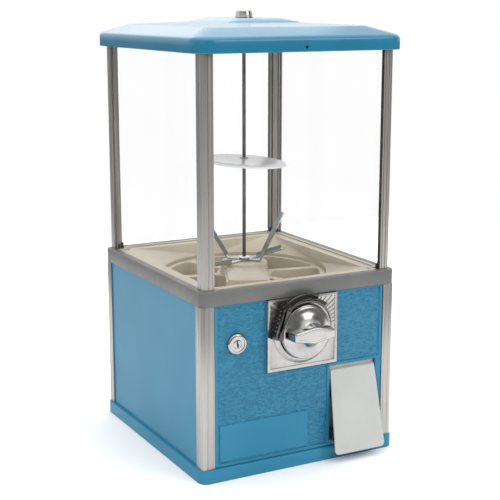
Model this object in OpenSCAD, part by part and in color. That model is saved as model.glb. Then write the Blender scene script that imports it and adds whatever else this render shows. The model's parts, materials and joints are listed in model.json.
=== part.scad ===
// Gumball machine with a square cabinet, a windowed globe on four corner posts and a coin mechanism.
// Millimetres. Origin on the floor at the centre of the cabinet, +Z up, front towards -Y.

/* [Cabinet] */
// Width of the base tray
body_w = 304; // [290:1:325]
// Depth of the base tray
body_d = 334; // [320:1:360]
// Radius of the base tray's upright corners
base_corner_r = 12; // [8:0.5:16]
// Height of the base tray
base_h = 18.5; // [16:0.5:24]
// Thickness of the base tray's floor
floor_t = 3; // [2:0.5:4]
// Width of the base tray's side walls
base_side_wall = 8; // [7:0.5:10]
// Width of the base tray's front and rear sills
base_sill = 16; // [14:0.5:20]
// Height that the corner feet stand below the front and rear sills
foot_drop = 3; // [2:0.5:3]
// Width of each corner foot along the front
foot_w = 14; // [10:1:20]
// Height of the lower cabinet between base tray and belt
lower_h = 221; // [210:1:240]
// Thickness of the side and rear panels
panel_t = 2; // [1.5:0.1:2.2]

/* [Corner posts] */
// Width of each leg of a lower post
low_leg = 18.4; // [17:0.2:20]
// How far the lower posts stand in from the base tray's faces
low_inset = 2.7; // [2:0.1:4]
// Width of each leg of an upper post
up_leg = 16.3; // [15.5:0.1:18]
// How far the upper posts stand in from the belt's faces
up_inset = 6; // [5:0.5:7]
// Thickness of a post's legs
post_t = 6; // [5.8:0.1:7]
// Radius of a post's rounded outer corner
post_r = 6.7; // [6:0.1:7.5]
// Wall of a post's hollow corner
post_wall = 1.6; // [1.2:0.1:2]
// Distance of the panel slot from a post's outer face
slot_in = 1.7; // [1.4:0.1:2]
// Depth of the panel slot
slot_depth = 3.6; // [3:0.1:3.8]
// Length of the upper posts above the belt
up_h = 310; // [300:1:340]
// Depth to which the upper posts stand in the belt
socket_depth = 6; // [4:0.5:8]

/* [Belt] */
// Width of the belt frame
belt_w = 300; // [294:1:310]
// Depth of the belt frame
belt_d = 330; // [324:1:345]
// Height of the belt frame
belt_h = 20.5; // [18:0.5:24]
// Radius of the belt's upright corners
belt_corner_r = 11; // [8:0.5:14]
// Width of the belt's lower ring
belt_ring = 18; // [17:0.5:19]
// Width of the belt's top land outside the hopper
belt_land = 11; // [10.5:0.25:12]
// Height of the seat of the hopper rim above the belt's lower face
belt_seat_h = 15.8; // [15:0.1:15.9]

/* [Windows] */
// Thickness of the clear windows
window_t = 2.5; // [2:0.1:2.6]

/* [Lid] */
// Overhang of the lid past the belt
lid_over = 6; // [4:0.5:10]
// Radius of the lid's upright corners
lid_corner_r = 26; // [22:1:30]
// Height of the lid's straight lip
lid_lip_h = 16; // [14:0.5:20]
// Wall of the lid
lid_wall = 3; // [2.5:0.5:3.5]
// Width of the soft edge at the top of the lip
lid_edge = 4; // [3:0.5:5]
// Width of the lid's sloping outer band
lid_band = 31; // [26:1:36]
// Rise of the lid's sloping outer band
lid_band_rise = 11; // [9:0.5:14]
// Width of the lid's nearly flat field
lid_field = 65; // [55:1:70]
// Rise of the lid's nearly flat field
lid_field_rise = 4; // [2:0.5:6]
// Width of the central dome's flank
lid_flank = 18; // [14:1:22]
// Rise of the central dome
lid_dome_rise = 5.5; // [4:0.5:8]
// Height of the lip that hangs below the tops of the upper posts
lid_drop = 10; // [8:0.5:12]
// Diameter of the screw hole in the lid's front lip
lid_hole_d = 4; // [3:0.5:5]

/* [Hopper] */
// Thickness of the hopper's rim
rim_t = 4.5; // [3.5:0.5:5.5]
// Height of the border that stands up round the rim
rim_border_h = 1.8; // [1:0.2:3]
// Width of that border
rim_border = 5; // [4:0.5:6]
// Width of the ledge inside the border
rim_ledge = 13; // [11:0.5:13.5]
// Height of the funnel between ledge and well
funnel_h = 15.8; // [15:0.1:16.4]
// Wall of the hopper
hopper_wall = 3; // [2.5:0.5:3]
// Running gap round the wheel
wheel_gap = 1; // [0.8:0.1:1.5]
// Running gap under the wheel
floor_gap = 0.3; // [0.2:0.05:0.5]
// Diameter of the outlet in the hopper's floor
outlet_d = 46; // [40:1:50]
// Bearing that the outlet lies on, seen from above
outlet_angle = 245; // [240:1:250]
// Diameter of the hopper's centre boss
hopper_boss_d = 24; // [20:1:30]

/* [Dispensing wheel] */
// Radius of the dispensing wheel
wheel_r = 118; // [116:0.5:120]
// Height of the wheel below its rim
wheel_h = 24.5; // [22:0.5:25]
// Depth of the wheel's top below the belt's top
wheel_sink = 22; // [21:0.5:23]
// Number of pockets
pockets = 6; // [5:1:7]
// Inner radius of the pockets
pocket_in = 40; // [39:1:46]
// Wall between the pockets and the wheel's edge, below at the crown gear
pocket_edge = 15.5; // [15:0.5:17]
// Wall between the pockets and the wheel's edge, above the crown gear
pocket_top_edge = 8; // [6:0.5:10]
// Width of the spokes between the pockets
spoke_w = 12; // [10:1:16]
// Bearing at which the first pocket rests, seen from above
pocket_angle = 20; // [10:1:30]
// Radius of the pockets' corners
pocket_r = 7; // [5:1:9]
// Radius of the wheel's raised hub
hub_r = 35; // [32:1:37]
// Height of the hub above the wheel's top
hub_h = 17.5; // [15:0.5:20]

/* [Gear drive] */
// Number of teeth on the pinion
pinion_teeth = 8; // [8:1:8]
// Teeth on the crown gear for each tooth on the pinion
gear_ratio = 6; // [6:1:6]
// Distance of the crown gear's pitch circle from the wheel's edge
crown_inset = 6; // [5.8:0.1:6.4]
// Length of the teeth along the shaft
tooth_face = 9; // [8:0.5:9.5]
// Thickness of a crown tooth
crown_tooth_t = 4; // [3.6:0.1:4.2]
// Thickness of a pinion tooth
pinion_tooth_t = 3.4; // [3:0.1:3.6]
// Height of a crown tooth
crown_tooth_h = 6.6; // [6:0.2:6.8]
// Thickness of the ring that carries the crown teeth
crown_ring_t = 3; // [2.5:0.5:4]
// Gap between the pinion's tips and the crown ring
mesh_gap = 0.8; // [0.6:0.1:1.2]

/* [Agitator] */
// Width of the agitator's bent strips
strip_w = 7; // [6:0.5:9]
// Thickness of the agitator's strips
strip_t = 1.5; // [1.2:0.1:2]
// Height of the folded edge along each strip
strip_fold = 6.5; // [5:0.5:7]
// Distance from the rod to the bends
strip_bend_r = 26; // [20:1:28]
// Length of the two raised arms
raised_arm = 80; // [70:1:85]
// Rise of the first raised arm from level
raised_angle = 64; // [55:1:70]
// Rise of the second raised arm from level
second_angle = 56; // [50:1:70]
// Length of the two low arms
low_arm = 60; // [50:1:65]
// Rise of the low arms from level
low_angle = 3; // [1:1:15]
// Angle between the two strips, seen from above
strip_cross = 70; // [60:1:90]
// Bearing of the raised arms, seen from above
agitator_turn = -50; // [-70:1:-40]
// Gap between the hub and the agitator
agitator_gap = 0.09; // [0.07:0.01:0.1]

/* [Rod and disc] */
// Diameter of the centre rod
rod_d = 5; // [4:0.5:6]
// Running clearance between rod and bores, on the radius
rod_fit = 0.08; // [0.05:0.01:0.1]
// Height of the deflector disc above the belt
disc_rise = 140; // [120:1:170]
// Diameter of the deflector disc
disc_d = 120; // [100:1:140]
// Thickness of the deflector disc
disc_t = 2; // [1.5:0.5:3]
// Height of the deflector disc's crown
disc_crown = 2.5; // [1:0.5:6]
// Tilt at which the disc hangs
disc_tilt = 4; // [0:0.5:5]
// Diameter of the clips on each side of the disc
clip_d = 12; // [10:1:16]
// Thickness of the clips
clip_t = 1; // [0.8:0.1:1.5]

/* [Front door] */
// Gap round the door
door_gap = 0.9; // [0.6:0.1:1.2]
// Depth of the door's edge
door_t = 7; // [6.5:0.1:8]
// Thickness of the door's skin
door_skin = 3; // [2.5:0.1:3.5]
// How far the door's face lies behind the lower posts' faces
door_back = 1; // [0.5:0.1:2]
// Diameter of the door's hinge pins
hinge_pin_d = 3; // [2.5:0.1:3.2]
// Length of each hinge pin
hinge_pin_len = 18; // [14:1:22]
// Depth of the grained field in the door's face
field_depth = 1; // [0.6:0.1:1.2]
// Margin left round the grained field
field_margin = 4; // [3:0.5:6]
// Width of the smooth plaque on the door
plaque_w = 134; // [120:1:138]
// Height of the smooth plaque on the door
plaque_h = 50; // [40:1:56]
// Groove left round the plaque
plaque_groove = 3; // [2:0.5:4]

/* [Dispensing flap] */
// Width of the flap opening
hatch_w = 75; // [70:1:75]
// Height of the flap opening
hatch_h = 110; // [100:1:112]
// Height of the flap opening's lower edge above the floor
hatch_z = 25; // [24:0.5:30]
// Distance of the opening from the door's right edge
hatch_side = 9; // [9:0.5:10]
// Width of the flap at its bend
flap_w = 71.5; // [66:0.5:72]
// How much the flap widens on each side towards its foot
flap_flare = 4.5; // [0:0.5:4.5]
// Length of the flap below its bend
flap_len = 116; // [108:1:116]
// Length of the flap's bent top
flap_bend_len = 8; // [7:0.5:10]
// Slope of the bent top from level
flap_bend_angle = 40; // [30:1:50]
// Thickness of the flap
flap_t = 2; // [1.5:0.1:2.2]
// Tilt at which the flap rests
flap_tilt = 12; // [8:1:16]
// Radius of the flap's lower corners
flap_r = 6; // [4:0.5:8]
// Diameter of the flap's pin
flap_pin_d = 3.2; // [3:0.1:3.4]
// Radius of the flap's rolled knuckle
knuckle_r = 3.2; // [3:0.1:3.4]

/* [Coin mechanism] */
// Height of the knob's shaft below the belt
knob_drop = 47; // [46.5:0.1:47.5]
// Width of the faceplate
plate_w = 108; // [104:1:112]
// Height of the faceplate
plate_h = 98.5; // [96:0.5:98.5]
// Thickness of the faceplate
plate_t = 3; // [2.5:0.1:4]
// Width of the faceplate's raised border
plate_border = 4; // [3:0.5:5]
// Height of the faceplate's raised border
plate_border_h = 1.2; // [0.8:0.1:1.6]
// Radius of the round bezel at its foot
bezel_r = 45; // [44:0.5:45.5]
// Height of the bezel
bezel_h = 5; // [4:0.5:7]
// Radius of the dial
dial_r = 37; // [36:0.5:37.5]
// Thickness of the dial
dial_t = 12; // [11:0.5:13]
// Gap between the dial and the parts round it
dial_gap = 0.6; // [0.4:0.1:1]
// How far the arch stands out of the faceplate
arch_h = 15; // [14:0.5:16]
// Outer radius of the arch
arch_r = 52.5; // [50:0.5:53]
// Radius of the ridge along the arch
arch_mid_r = 47; // [46.5:0.1:48]
// Angle that the arch's inner band covers
arch_angle = 92; // [80:2:96]
// Width of the coin slot's block
slot_block_w = 12.5; // [11:0.5:14]
// Length of the coin slot's block
slot_block_len = 44; // [40:1:46]
// Lean of the coin slot's block from upright
slot_lean = 18; // [14:1:20]
// Length of the handle at its face
handle_len = 60; // [54:1:62]
// Width of the handle at its middle
handle_w = 23; // [20:0.5:24]
// Width of the handle's ends
handle_end_w = 12.5; // [10:0.5:14]
// How far the handle stands out of the dial
handle_out = 22; // [18:0.5:24]
// Diameter of the shaft
shaft_d = 10; // [9:0.5:11]
// Width of the square housing behind the door
housing_w = 84; // [80:1:86]
// Distance between the coin housing and the hopper's well
housing_gap = 11.3; // [8.5:0.1:13]
// Wall of the housing
housing_wall = 2.5; // [2:0.1:3]
// Diameter of the faceplate's studs
stud_d = 4; // [3:0.2:4.4]
// Thickness of the nuts on the studs
nut_t = 3.1; // [2.4:0.1:3.6]
// Width of the coin slot
coin_slot_w = 2.6; // [2:0.1:3]
// Width of the ribs that fan out on the faceplate
rib_w = 1.8; // [1.2:0.1:2.2]
// Distance of the pawl's pivot from the shaft, across
pawl_x = 30; // [29:0.5:31]
// Height of the pawl's pivot above the shaft
pawl_rise = 22; // [21:0.5:23]
// Radius of the coin wheel
coin_wheel_r = 29; // [27:0.5:30]
// Diameter of the coin that the wheel's notch takes
coin_d = 24.3; // [18:0.1:25]
// Number of ratchet teeth
ratchet_teeth = 16; // [12:1:20]

/* [Locks] */
// Diameter of the door lock's collar
lock_collar_d = 28; // [26:0.5:30]
// Thickness of the door lock's collar
lock_collar_t = 5; // [4:0.5:6]
// Diameter of the lock barrel behind the collar
lock_barrel_d = 19; // [17:0.5:20]
// Length of the lock barrel behind the door's face
lock_barrel_len = 22; // [18:0.5:26]
// Diameter of the key plug
plug_d = 12; // [11:0.5:13]
// Distance of the door lock from the centre line
lock_x = 98; // [92:0.5:100]
// Distance of the door lock below the belt
lock_drop = 53.5; // [50:0.5:60]
// Length of the lock's cam from its axis
cam_len = 36; // [34.5:0.5:36.5]
// Width of the lock's cam
cam_w = 14; // [12:0.5:16]
// Thickness of the lock's cam
cam_t = 2; // [1.5:0.1:2.5]
// Diameter of the lid lock at its foot
lid_lock_d = 25.4; // [23:0.2:27]
// Diameter of the lid lock at its top
lid_lock_top_d = 21.5; // [20:0.1:22]
// Height of the lid lock
lid_lock_h = 10; // [9:0.5:12]

/* [Inside the cabinet] */
// Gap between the cash box and the catch tray
cash_side_gap = 25.5; // [24:0.5:40]
// Distance of the cash box from the centre rod's axis
cash_rod_gap = 16.6; // [14:0.2:30]
// Height of the cash box
cash_h = 66; // [50:1:75]
// Wall of the inner trays
tray_wall = 2; // [1.5:0.1:2.5]
// Width of the chute's inside
chute_w = 58; // [54:1:60]
// Height of the chute's sides
chute_side = 30; // [24:1:32]
// Slope of the chute's long run
chute_slope = 24; // [22:1:25]
// Slope of the chute's short run towards the door
chute_turn_slope = 18; // [14:1:20]
// Depth of the catch tray behind the door's face
catch_depth = 38; // [34:1:40]
// Height of the catch tray's back wall
catch_back_h = 50; // [40:1:55]

/* [Hidden] */
$fn = 64;

// Colours
paint_blue = "#3585A8";
bare_aluminium = "#B9B5AE";
belt_grey = "#7A7876";
cream = "#D9CBB4";
plated = "#AEB6B8";
chrome = "#D5D7D8";
clear = [0.86, 0.93, 0.95, 0.25];
flap_white = "#CBCBC7";
disc_white = "#E4E6EC";
black = "#2B2B2D";
galvanised = "#9AA0A0";

eps = 0.01;
seat = 0.3;

// Levels
belt_z = base_h + lower_h;
belt_top = belt_z + belt_h;
post_top = belt_top + up_h;
lip_z = post_top - lid_drop;
knob_z = belt_z - knob_drop;
wheel_top = belt_top - wheel_sink;
wheel_z = wheel_top - wheel_h;
floor_z = wheel_z - floor_gap;
rim_z = belt_z + belt_seat_h;

// Places of the posts, as half distances to their outer corners
low_x = body_w / 2 - low_inset;
low_y = body_d / 2 - low_inset;
up_x = belt_w / 2 - up_inset;
up_y = belt_d / 2 - up_inset;

// Hopper and wheel
rim_w = belt_w - 2 * belt_land;
rim_d = belt_d - 2 * belt_land;
well_r = wheel_r + wheel_gap;
ledge_z = rim_z + rim_t - rim_border_h;
mouth_w = rim_w - 2 * (rim_border + rim_ledge);
mouth_d = rim_d - 2 * (rim_border + rim_ledge);
well_top = ledge_z - funnel_h;
pocket_out = wheel_r - pocket_edge;
plateau_r = pocket_out + 1.5;
groove_z = wheel_z - crown_tooth_h - 4;
outlet_r = (pocket_in + pocket_out) / 2;
hub_top = wheel_top + hub_h;
outlet_x = outlet_r * cos(outlet_angle);
outlet_y = outlet_r * sin(outlet_angle);

// Lid
lid_w = belt_w + 2 * lid_over;
lid_d = belt_d + 2 * lid_over;
lip_top = lip_z + lid_lip_h;
edge_top = lip_top + lid_edge;
band_top = edge_top + lid_band_rise;
field_top = band_top + lid_field_rise;
lid_top = field_top + lid_dome_rise;
lock_thread_d = 14;

// Gear drive
crown_teeth = gear_ratio * pinion_teeth;
crown_pitch_r = wheel_r - crown_inset;
pinion_tip_r = wheel_z - mesh_gap - knob_z;
pinion_root_r = wheel_z - crown_tooth_h - mesh_gap - knob_z;
crown_in = crown_pitch_r - tooth_face / 2;
crown_out = crown_pitch_r + tooth_face / 2;
pinion_y = -crown_pitch_r;

// Door
door_w = 2 * (low_x - low_leg - door_gap);
door_face = -(low_y - door_back);
door_inner = door_face + door_skin;
door_rear = door_face + door_t;
door_z = base_h + door_gap;
door_top = belt_z - door_gap / 2;
hinge_x = door_w / 2 - door_t / 2;
hinge_y = door_face + door_t / 2;
plaque_x = -door_w / 2 + field_margin + plaque_groove;
plaque_z = door_z + field_margin + plaque_groove;
hatch_x = door_w / 2 - hatch_side - hatch_w;

// Flap
flap_pin_y = door_inner + 1.6 + knuckle_r;
flap_pin_z = hatch_z + hatch_h - knuckle_r - 0.8;
hatch_mid = hatch_x + hatch_w / 2;

flap_start_y = flap_pin_y - flap_bend_len * cos(flap_bend_angle);
flap_start_z = flap_pin_z - flap_bend_len * sin(flap_bend_angle);

// Inner trays
cash_x = -low_x + low_leg + 3.4;
cash_y = -body_d / 2 + base_sill + 0.4;
cash_w = hatch_x - tray_wall - cash_side_gap - cash_x;
cash_d = -cash_y - cash_rod_gap;
catch_rear = door_face + catch_depth;
chute_rise = 15;

// Coin mechanism
plate_top = belt_z - door_gap / 2;
plate_face = door_face - plate_t;
dial_back = plate_face - 0.3;
housing_rear = -well_r - hopper_wall - housing_gap;
housing_depth = housing_rear - door_face;
coin_wheel_t = housing_depth / 5;
ratchet_t = housing_depth / 7.5;
coin_wheel_y = door_face + housing_depth / 2;
dial_face = dial_back - dial_t;
handle_face = dial_face - handle_out;
ring_top_r = dial_r + dial_gap + 3;
stud_x = plate_w / 2 - 5.5;
stud_z = 36;

// A flat rectangle with round corners, centred
module rounded_rect(w, d, r) {
    square([w - 2 * r, d], center = true);
    square([w, d - 2 * r], center = true);
    for (sx = [-1, 1], sy = [-1, 1])
        translate([sx * (w / 2 - r), sy * (d / 2 - r)]) circle(r);
}

// A copy of the children at each corner, mirrored so that +x and +y point inwards
module corner(sx, sy, x, y) {
    translate([sx * x, sy * y, 0]) mirror([sx > 0 ? 1 : 0, 0, 0]) mirror([0, sy > 0 ? 1 : 0, 0]) children();
}

module all_corners(x, y) {
    for (sx = [-1, 1], sy = [-1, 1]) corner(sx, sy, x, y) children();
}

// Section of a corner post: a hollow rounded corner with two slotted legs
module post_section(leg, slot_w) {
    groove_w = 0.9;
    groove_in = 0.5;
    difference() {
        union() {
            translate([post_r, post_r]) circle(post_r);
            translate([post_r, 0]) square([leg - post_r, post_t]);
            translate([0, post_r]) square([post_t, leg - post_r]);
        }
        translate([post_r, post_r]) circle(post_r - post_wall);
        translate([leg - slot_depth, slot_in]) square([slot_depth + 1, slot_w]);
        translate([slot_in, leg - slot_depth]) square([slot_w, slot_depth + 1]);
        for (g = [post_r + 1.2, leg - 3.2]) {
            translate([g, -eps]) square([groove_w, groove_in]);
            translate([-eps, g]) square([groove_in, groove_w]);
        }
    }
}

module lower_post(sx, sy) {
    color(bare_aluminium)
        corner(sx, sy, low_x, low_y)
            translate([0, 0, base_h]) linear_extrude(lower_h) post_section(low_leg, panel_t + 0.4);
}

module upper_post(sx, sy) {
    color(bare_aluminium)
        corner(sx, sy, up_x, up_y)
            translate([0, 0, belt_top - socket_depth])
                linear_extrude(up_h + socket_depth) post_section(up_leg, window_t + 0.4);
}

// A sheet that stands in the slots of two posts; run is its half length
module sheet_x(x, run, t, z0, z1) {
    translate([x, -run, z0]) cube([t, 2 * run, z1 - z0]);
}

module sheet_y(y, run, t, z0, z1) {
    translate([-run, y, z0]) cube([2 * run, t, z1 - z0]);
}

// Base tray: sill, floor pan, post seats and rod boss
module base_tray() {
    seat_w = low_inset + low_leg + 2;
    boss_r = rod_d / 2 + 8;
    color(paint_blue)
        difference() {
            union() {
                difference() {
                    linear_extrude(base_h) rounded_rect(body_w, body_d, base_corner_r);
                    translate([0, 0, floor_t])
                        linear_extrude(base_h)
                            difference() {
                                square([body_w - 2 * base_side_wall, body_d - 2 * base_sill], center = true);
                                for (sx = [-1, 1], sy = [-1, 1])
                                    translate([sx * body_w / 2, sy * body_d / 2])
                                        square(2 * seat_w, center = true);
                            }
                }
                translate([0, 0, floor_t - 1]) cylinder(h = 10, r = boss_r);
            }
            for (s = [-1, 1])
                translate([-body_w / 2 + foot_w, s * (body_d / 2 - 5) - 5, -1])
                    cube([body_w - 2 * foot_w, 10, foot_drop + 1]);
            translate([0, 0, floor_t + 0.5]) cylinder(h = 20, d = rod_d + 2 * rod_fit);
            translate([hinge_x, hinge_y, base_h - hinge_pin_len / 2])
                cylinder(h = hinge_pin_len, d = hinge_pin_d + 2 * rod_fit);
        }
}

module side_panel(s) {
    run = low_y - low_leg + slot_depth - 0.4;
    x = low_x - slot_in - 0.2 - panel_t;
    color(paint_blue) sheet_x(s > 0 ? x : -x - panel_t, run, panel_t, base_h, belt_z);
}

module rear_panel() {
    run = low_x - low_leg + slot_depth - 0.4;
    color(paint_blue) sheet_y(low_y - slot_in - 0.2 - panel_t, run, panel_t, base_h, belt_z);
}

module side_window(s) {
    run = up_y - up_leg + slot_depth - 0.4;
    x = up_x - slot_in - 0.2 - window_t;
    color(clear) sheet_x(s > 0 ? x : -x - window_t, run, window_t, belt_top, post_top - 3);
}

module end_window(s) {
    run = up_x - up_leg + slot_depth - 0.4;
    y = up_y - slot_in - 0.2 - window_t;
    color(clear) sheet_y(s > 0 ? y : -y - window_t, run, window_t, belt_top, post_top - 3);
}

// Belt frame: ring between cabinet and globe, with the hopper's seat and the post sockets
module belt_frame() {
    color(belt_grey)
        difference() {
            translate([0, 0, belt_z]) linear_extrude(belt_h) rounded_rect(belt_w, belt_d, belt_corner_r);
            translate([0, 0, belt_z - 1])
                linear_extrude(belt_h + 2)
                    square([belt_w - 2 * belt_ring, belt_d - 2 * belt_ring], center = true);
            translate([0, 0, rim_z])
                linear_extrude(belt_h)
                    difference() {
                        square([rim_w + 2 * seat, rim_d + 2 * seat], center = true);
                        all_corners(up_x, up_y) square(2 * (up_leg + 1.4), center = true);
                    }
            all_corners(up_x, up_y)
                translate([0, 0, belt_top - socket_depth])
                    linear_extrude(socket_depth + 1) socket_section();
            translate([hinge_x, hinge_y, belt_z - hinge_pin_len / 2])
                cylinder(h = hinge_pin_len, d = hinge_pin_d + 2 * rod_fit);
        }
}

// Outline of a post's foot with a little clearance
module socket_section() {
    c = 0.15;
    translate([post_r, post_r]) circle(post_r + c);
    translate([post_r, -c]) square([up_leg - post_r + c, post_t + 2 * c]);
    translate([-c, post_r]) square([post_t + 2 * c, up_leg - post_r + c]);
}

// Black angle pieces that hold the feet of the upper posts and the windows' corners
module post_feet() {
    foot_len = up_leg + 1.2;
    foot_t = 3;
    color(black)
        all_corners(up_x, up_y)
            translate([0, 0, belt_top])
                linear_extrude(7)
                    difference() {
                        translate([post_t + seat, post_t + seat]) square(foot_len - post_t);
                        translate([post_t + foot_t, post_t + foot_t]) square(foot_len);
                        translate([post_r, post_r]) circle(post_r + seat);
                    }
}

// Cut through a straight funnel from a rectangular mouth down to a round well
module funnel_form(w, d, z1, r, z0) {
    hull() {
        translate([0, 0, z1]) linear_extrude(0.1) rounded_rect(w, d, 12);
        translate([0, 0, z0 - 0.1]) cylinder(h = 0.1, r = r);
    }
}

// Hopper tray: rim, funnel, round well, floor plateau with outlet, groove for the crown gear
module hopper_tray() {
    notch = up_leg + 1.4;
    below = belt_z + 0.5;
    boss_h = floor_z - groove_z;
    color(cream)
        difference() {
            union() {
                translate([0, 0, rim_z])
                    linear_extrude(rim_t)
                        difference() {
                            square([rim_w, rim_d], center = true);
                            all_corners(up_x, up_y) square(2 * notch, center = true);
                        }
                intersection() {
                    funnel_form(mouth_w + 2 * hopper_wall, mouth_d + 2 * hopper_wall, rim_z,
                                well_r + hopper_wall, well_top - hopper_wall);
                    translate([-belt_w / 2, -belt_d / 2, 0])
                        cube([belt_w, belt_d, rim_z + 0.2]);
                }
                rotate_extrude()
                    polygon([
                        [0, floor_z - hopper_wall],
                        [plateau_r - hopper_wall, floor_z - hopper_wall],
                        [plateau_r - hopper_wall, groove_z - hopper_wall],
                        [well_r + hopper_wall, groove_z - hopper_wall],
                        [well_r + hopper_wall, well_top + 1],
                        [well_r, well_top + 1],
                        [well_r, groove_z],
                        [plateau_r, groove_z],
                        [plateau_r, floor_z],
                        [0, floor_z]]);
                translate([0, 0, floor_z - boss_h]) cylinder(h = boss_h - 1, d = hopper_boss_d);
            }
            funnel_form(mouth_w, mouth_d, ledge_z, well_r, well_top);
            translate([0, 0, floor_z]) cylinder(h = well_top - floor_z + 1, r = well_r);
            translate([0, 0, ledge_z])
                linear_extrude(rim_t)
                    difference() {
                        square([rim_w - 2 * rim_border, rim_d - 2 * rim_border], center = true);
                        all_corners(up_x, up_y) square(2 * (notch + rim_border), center = true);
                    }
            translate([outlet_x, outlet_y, groove_z]) cylinder(h = 40, d = outlet_d);
            translate([0, 0, groove_z - 20]) cylinder(h = 60, d = rod_d + 2 * rod_fit);
            pinion_notch();
        }
}

// Window in the hopper's groove through which the pinion reaches the crown gear
module pinion_notch() {
    half = pinion_tip_r + 3;
    y0 = -well_r - hopper_wall - 3;
    translate([-half - 2, y0, groove_z - hopper_wall - 2])
        cube([2 * half + 2, -plateau_r - 0.5 - y0, wheel_z - groove_z + hopper_wall + 2]);
}

// Cover over the outlet that keeps loose balls out, fixed to the well's edge
module outlet_guard() {
    inner = hub_r + 4;
    top = hub_top - 1.5;
    low = wheel_top + 0.8;
    half = outlet_d / 2 + 7;
    t = 3;
    color(cream)
        intersection() {
            translate([0, 0, low - 1]) cylinder(h = 40, r = well_r - seat);
            rotate(outlet_angle)
                difference() {
                    union() {
                        translate([inner, -half, low]) cube([well_r - inner, 2 * half, top - low - 3]);
                        translate([inner + 3, -half + 3, low]) cube([well_r - inner, 2 * half - 6, top - low]);
                    }
                    translate([inner + t, -half + t, low - 1])
                        cube([well_r - inner - 2 * t - 3, 2 * half - 2 * t, top - low - t - 2]);
                }
        }
}

// Centre rod from the base tray's boss to the lid lock
module center_rod() {
    color(galvanised)
        translate([0, 0, floor_t + 0.5]) cylinder(h = lid_top + 5 - floor_t, d = rod_d);
}

// Nut on the rod below the hopper's boss
module rod_nut() {
    color(plated)
        translate([0, 0, groove_z - 4])
            difference() {
                cylinder(h = 4, d = 11, $fn = 6);
                translate([0, 0, -1]) cylinder(h = 6, d = rod_d + 2 * rod_fit);
            }
}

module deflector_disc() {
    r = disc_d / 2;
    color(disc_white)
        translate([0, 0, belt_top + disc_rise])
            rotate(a = disc_tilt, v = [0.474, 0.88, 0])
                rotate_extrude()
                    polygon([
                        [rod_d / 2 + 0.5, disc_crown],
                        [r * 0.35, disc_crown * 0.9],
                        [r * 0.7, disc_crown * 0.55],
                        [r - 1.5, 0],
                        [r - 1.5, -2],
                        [r, -2],
                        [r, disc_t * 0.6],
                        [r - 1, disc_t],
                        [r * 0.7, disc_crown * 0.55 + disc_t],
                        [r * 0.35, disc_crown * 0.9 + disc_t],
                        [rod_d / 2 + 0.5, disc_crown + disc_t]]);
}

// Clips on the rod above and below the disc
module disc_clips() {
    lift = clip_d / 2 * sin(disc_tilt) + 0.1;
    mid = belt_top + disc_rise + disc_crown;
    color(plated)
        for (z = [mid - lift - clip_t, mid + disc_t + lift])
            translate([0, 0, z])
                difference() {
                    cylinder(h = clip_t, d = clip_d);
                    translate([0, 0, -1]) cylinder(h = clip_t + 2, d = rod_d + 2 * rod_fit);
                }
}

// Thin level slab of the lid, set in from its outline
module lid_slab(inset, z, r) {
    translate([0, 0, z - 0.1]) linear_extrude(0.1) rounded_rect(lid_w - 2 * inset, lid_d - 2 * inset, r, $fn = 48);
}

module lid() {
    in1 = 1.2;
    in2 = lid_edge;
    in3 = in2 + lid_band;
    in4 = in3 + lid_field;
    in5 = in4 + lid_flank;
    w = lid_wall;
    pad = up_leg + 2;
    color(paint_blue)
        difference() {
            union() {
                translate([0, 0, lip_z])
                    linear_extrude(lid_lip_h) rounded_rect(lid_w, lid_d, lid_corner_r);
                hull() {
                    lid_slab(0, lip_top + 0.1, lid_corner_r);
                    lid_slab(in1, edge_top - 1.2, lid_corner_r - in1);
                    lid_slab(in2, edge_top, lid_corner_r - in2);
                }
                hull() {
                    lid_slab(in2, edge_top, lid_corner_r - in2);
                    lid_slab(in3, band_top, 16);
                    lid_slab(in4, field_top, 14);
                }
                hull() {
                    lid_slab(in4, field_top, 14);
                    lid_slab(in5, lid_top, 12);
                }
            }
            difference() {
                union() {
                    translate([0, 0, lip_z - 1])
                        linear_extrude(lid_lip_h + 1)
                            rounded_rect(lid_w - 2 * w, lid_d - 2 * w, lid_corner_r - w);
                    hull() {
                        lid_slab(w, lip_top, lid_corner_r - w);
                        lid_slab(in2 + w, edge_top - w, lid_corner_r - in2 - w);
                        lid_slab(in3 + w, band_top - w, 14);
                    }
                    translate([0, 0, band_top - w - 1])
                        linear_extrude(field_top - band_top + 1)
                            rounded_rect(lid_w - 2 * in4, lid_d - 2 * in4, 12);
                }
                all_corners(up_x + 1, up_y + 1)
                    translate([0, 0, post_top]) cube([pad, pad, 40]);
                translate([0, 0, post_top]) cylinder(h = 60, d = lid_lock_d + 4);
            }
            translate([0, 0, post_top + 2]) cylinder(h = field_top - post_top - 5, d = lid_lock_d - 4);
            translate([0, 0, post_top - 1]) cylinder(h = 60, d = lock_thread_d + 0.2);
            translate([0, -lid_d / 2 + lid_wall + 1, lip_z + 6])
                rotate([90, 0, 0]) cylinder(h = lid_wall + 2, d = lid_hole_d);
        }
}

// Round lock on top of the lid, with its threaded neck through the dome
module lid_lock_barrel() {
    color(chrome)
        translate([0, 0, lid_top])
            difference() {
                union() {
                    rotate_extrude()
                        polygon([
                            [0, 0],
                            [lid_lock_d / 2, 0],
                            [lid_lock_d / 2, 1.5],
                            [lid_lock_top_d / 2, lid_lock_h - 1],
                            [lid_lock_top_d / 2 - 1, lid_lock_h],
                            [0, lid_lock_h]]);
                    translate([0, 0, -12]) cylinder(h = 13, d = lock_thread_d);
                }
                translate([0, 0, 6.2]) cylinder(h = lid_lock_h, d = plug_d + 2 * rod_fit);
                translate([0, 0, -13]) cylinder(h = 18.8, d = rod_d + 2 * rod_fit);
            }
}

module lid_lock_nut() {
    color(plated)
        translate([0, 0, field_top - 3 - 3.3])
            difference() {
                cylinder(h = 3, d = 18, $fn = 6);
                translate([0, 0, -1]) cylinder(h = 5, d = lock_thread_d + 0.1);
            }
}

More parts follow.
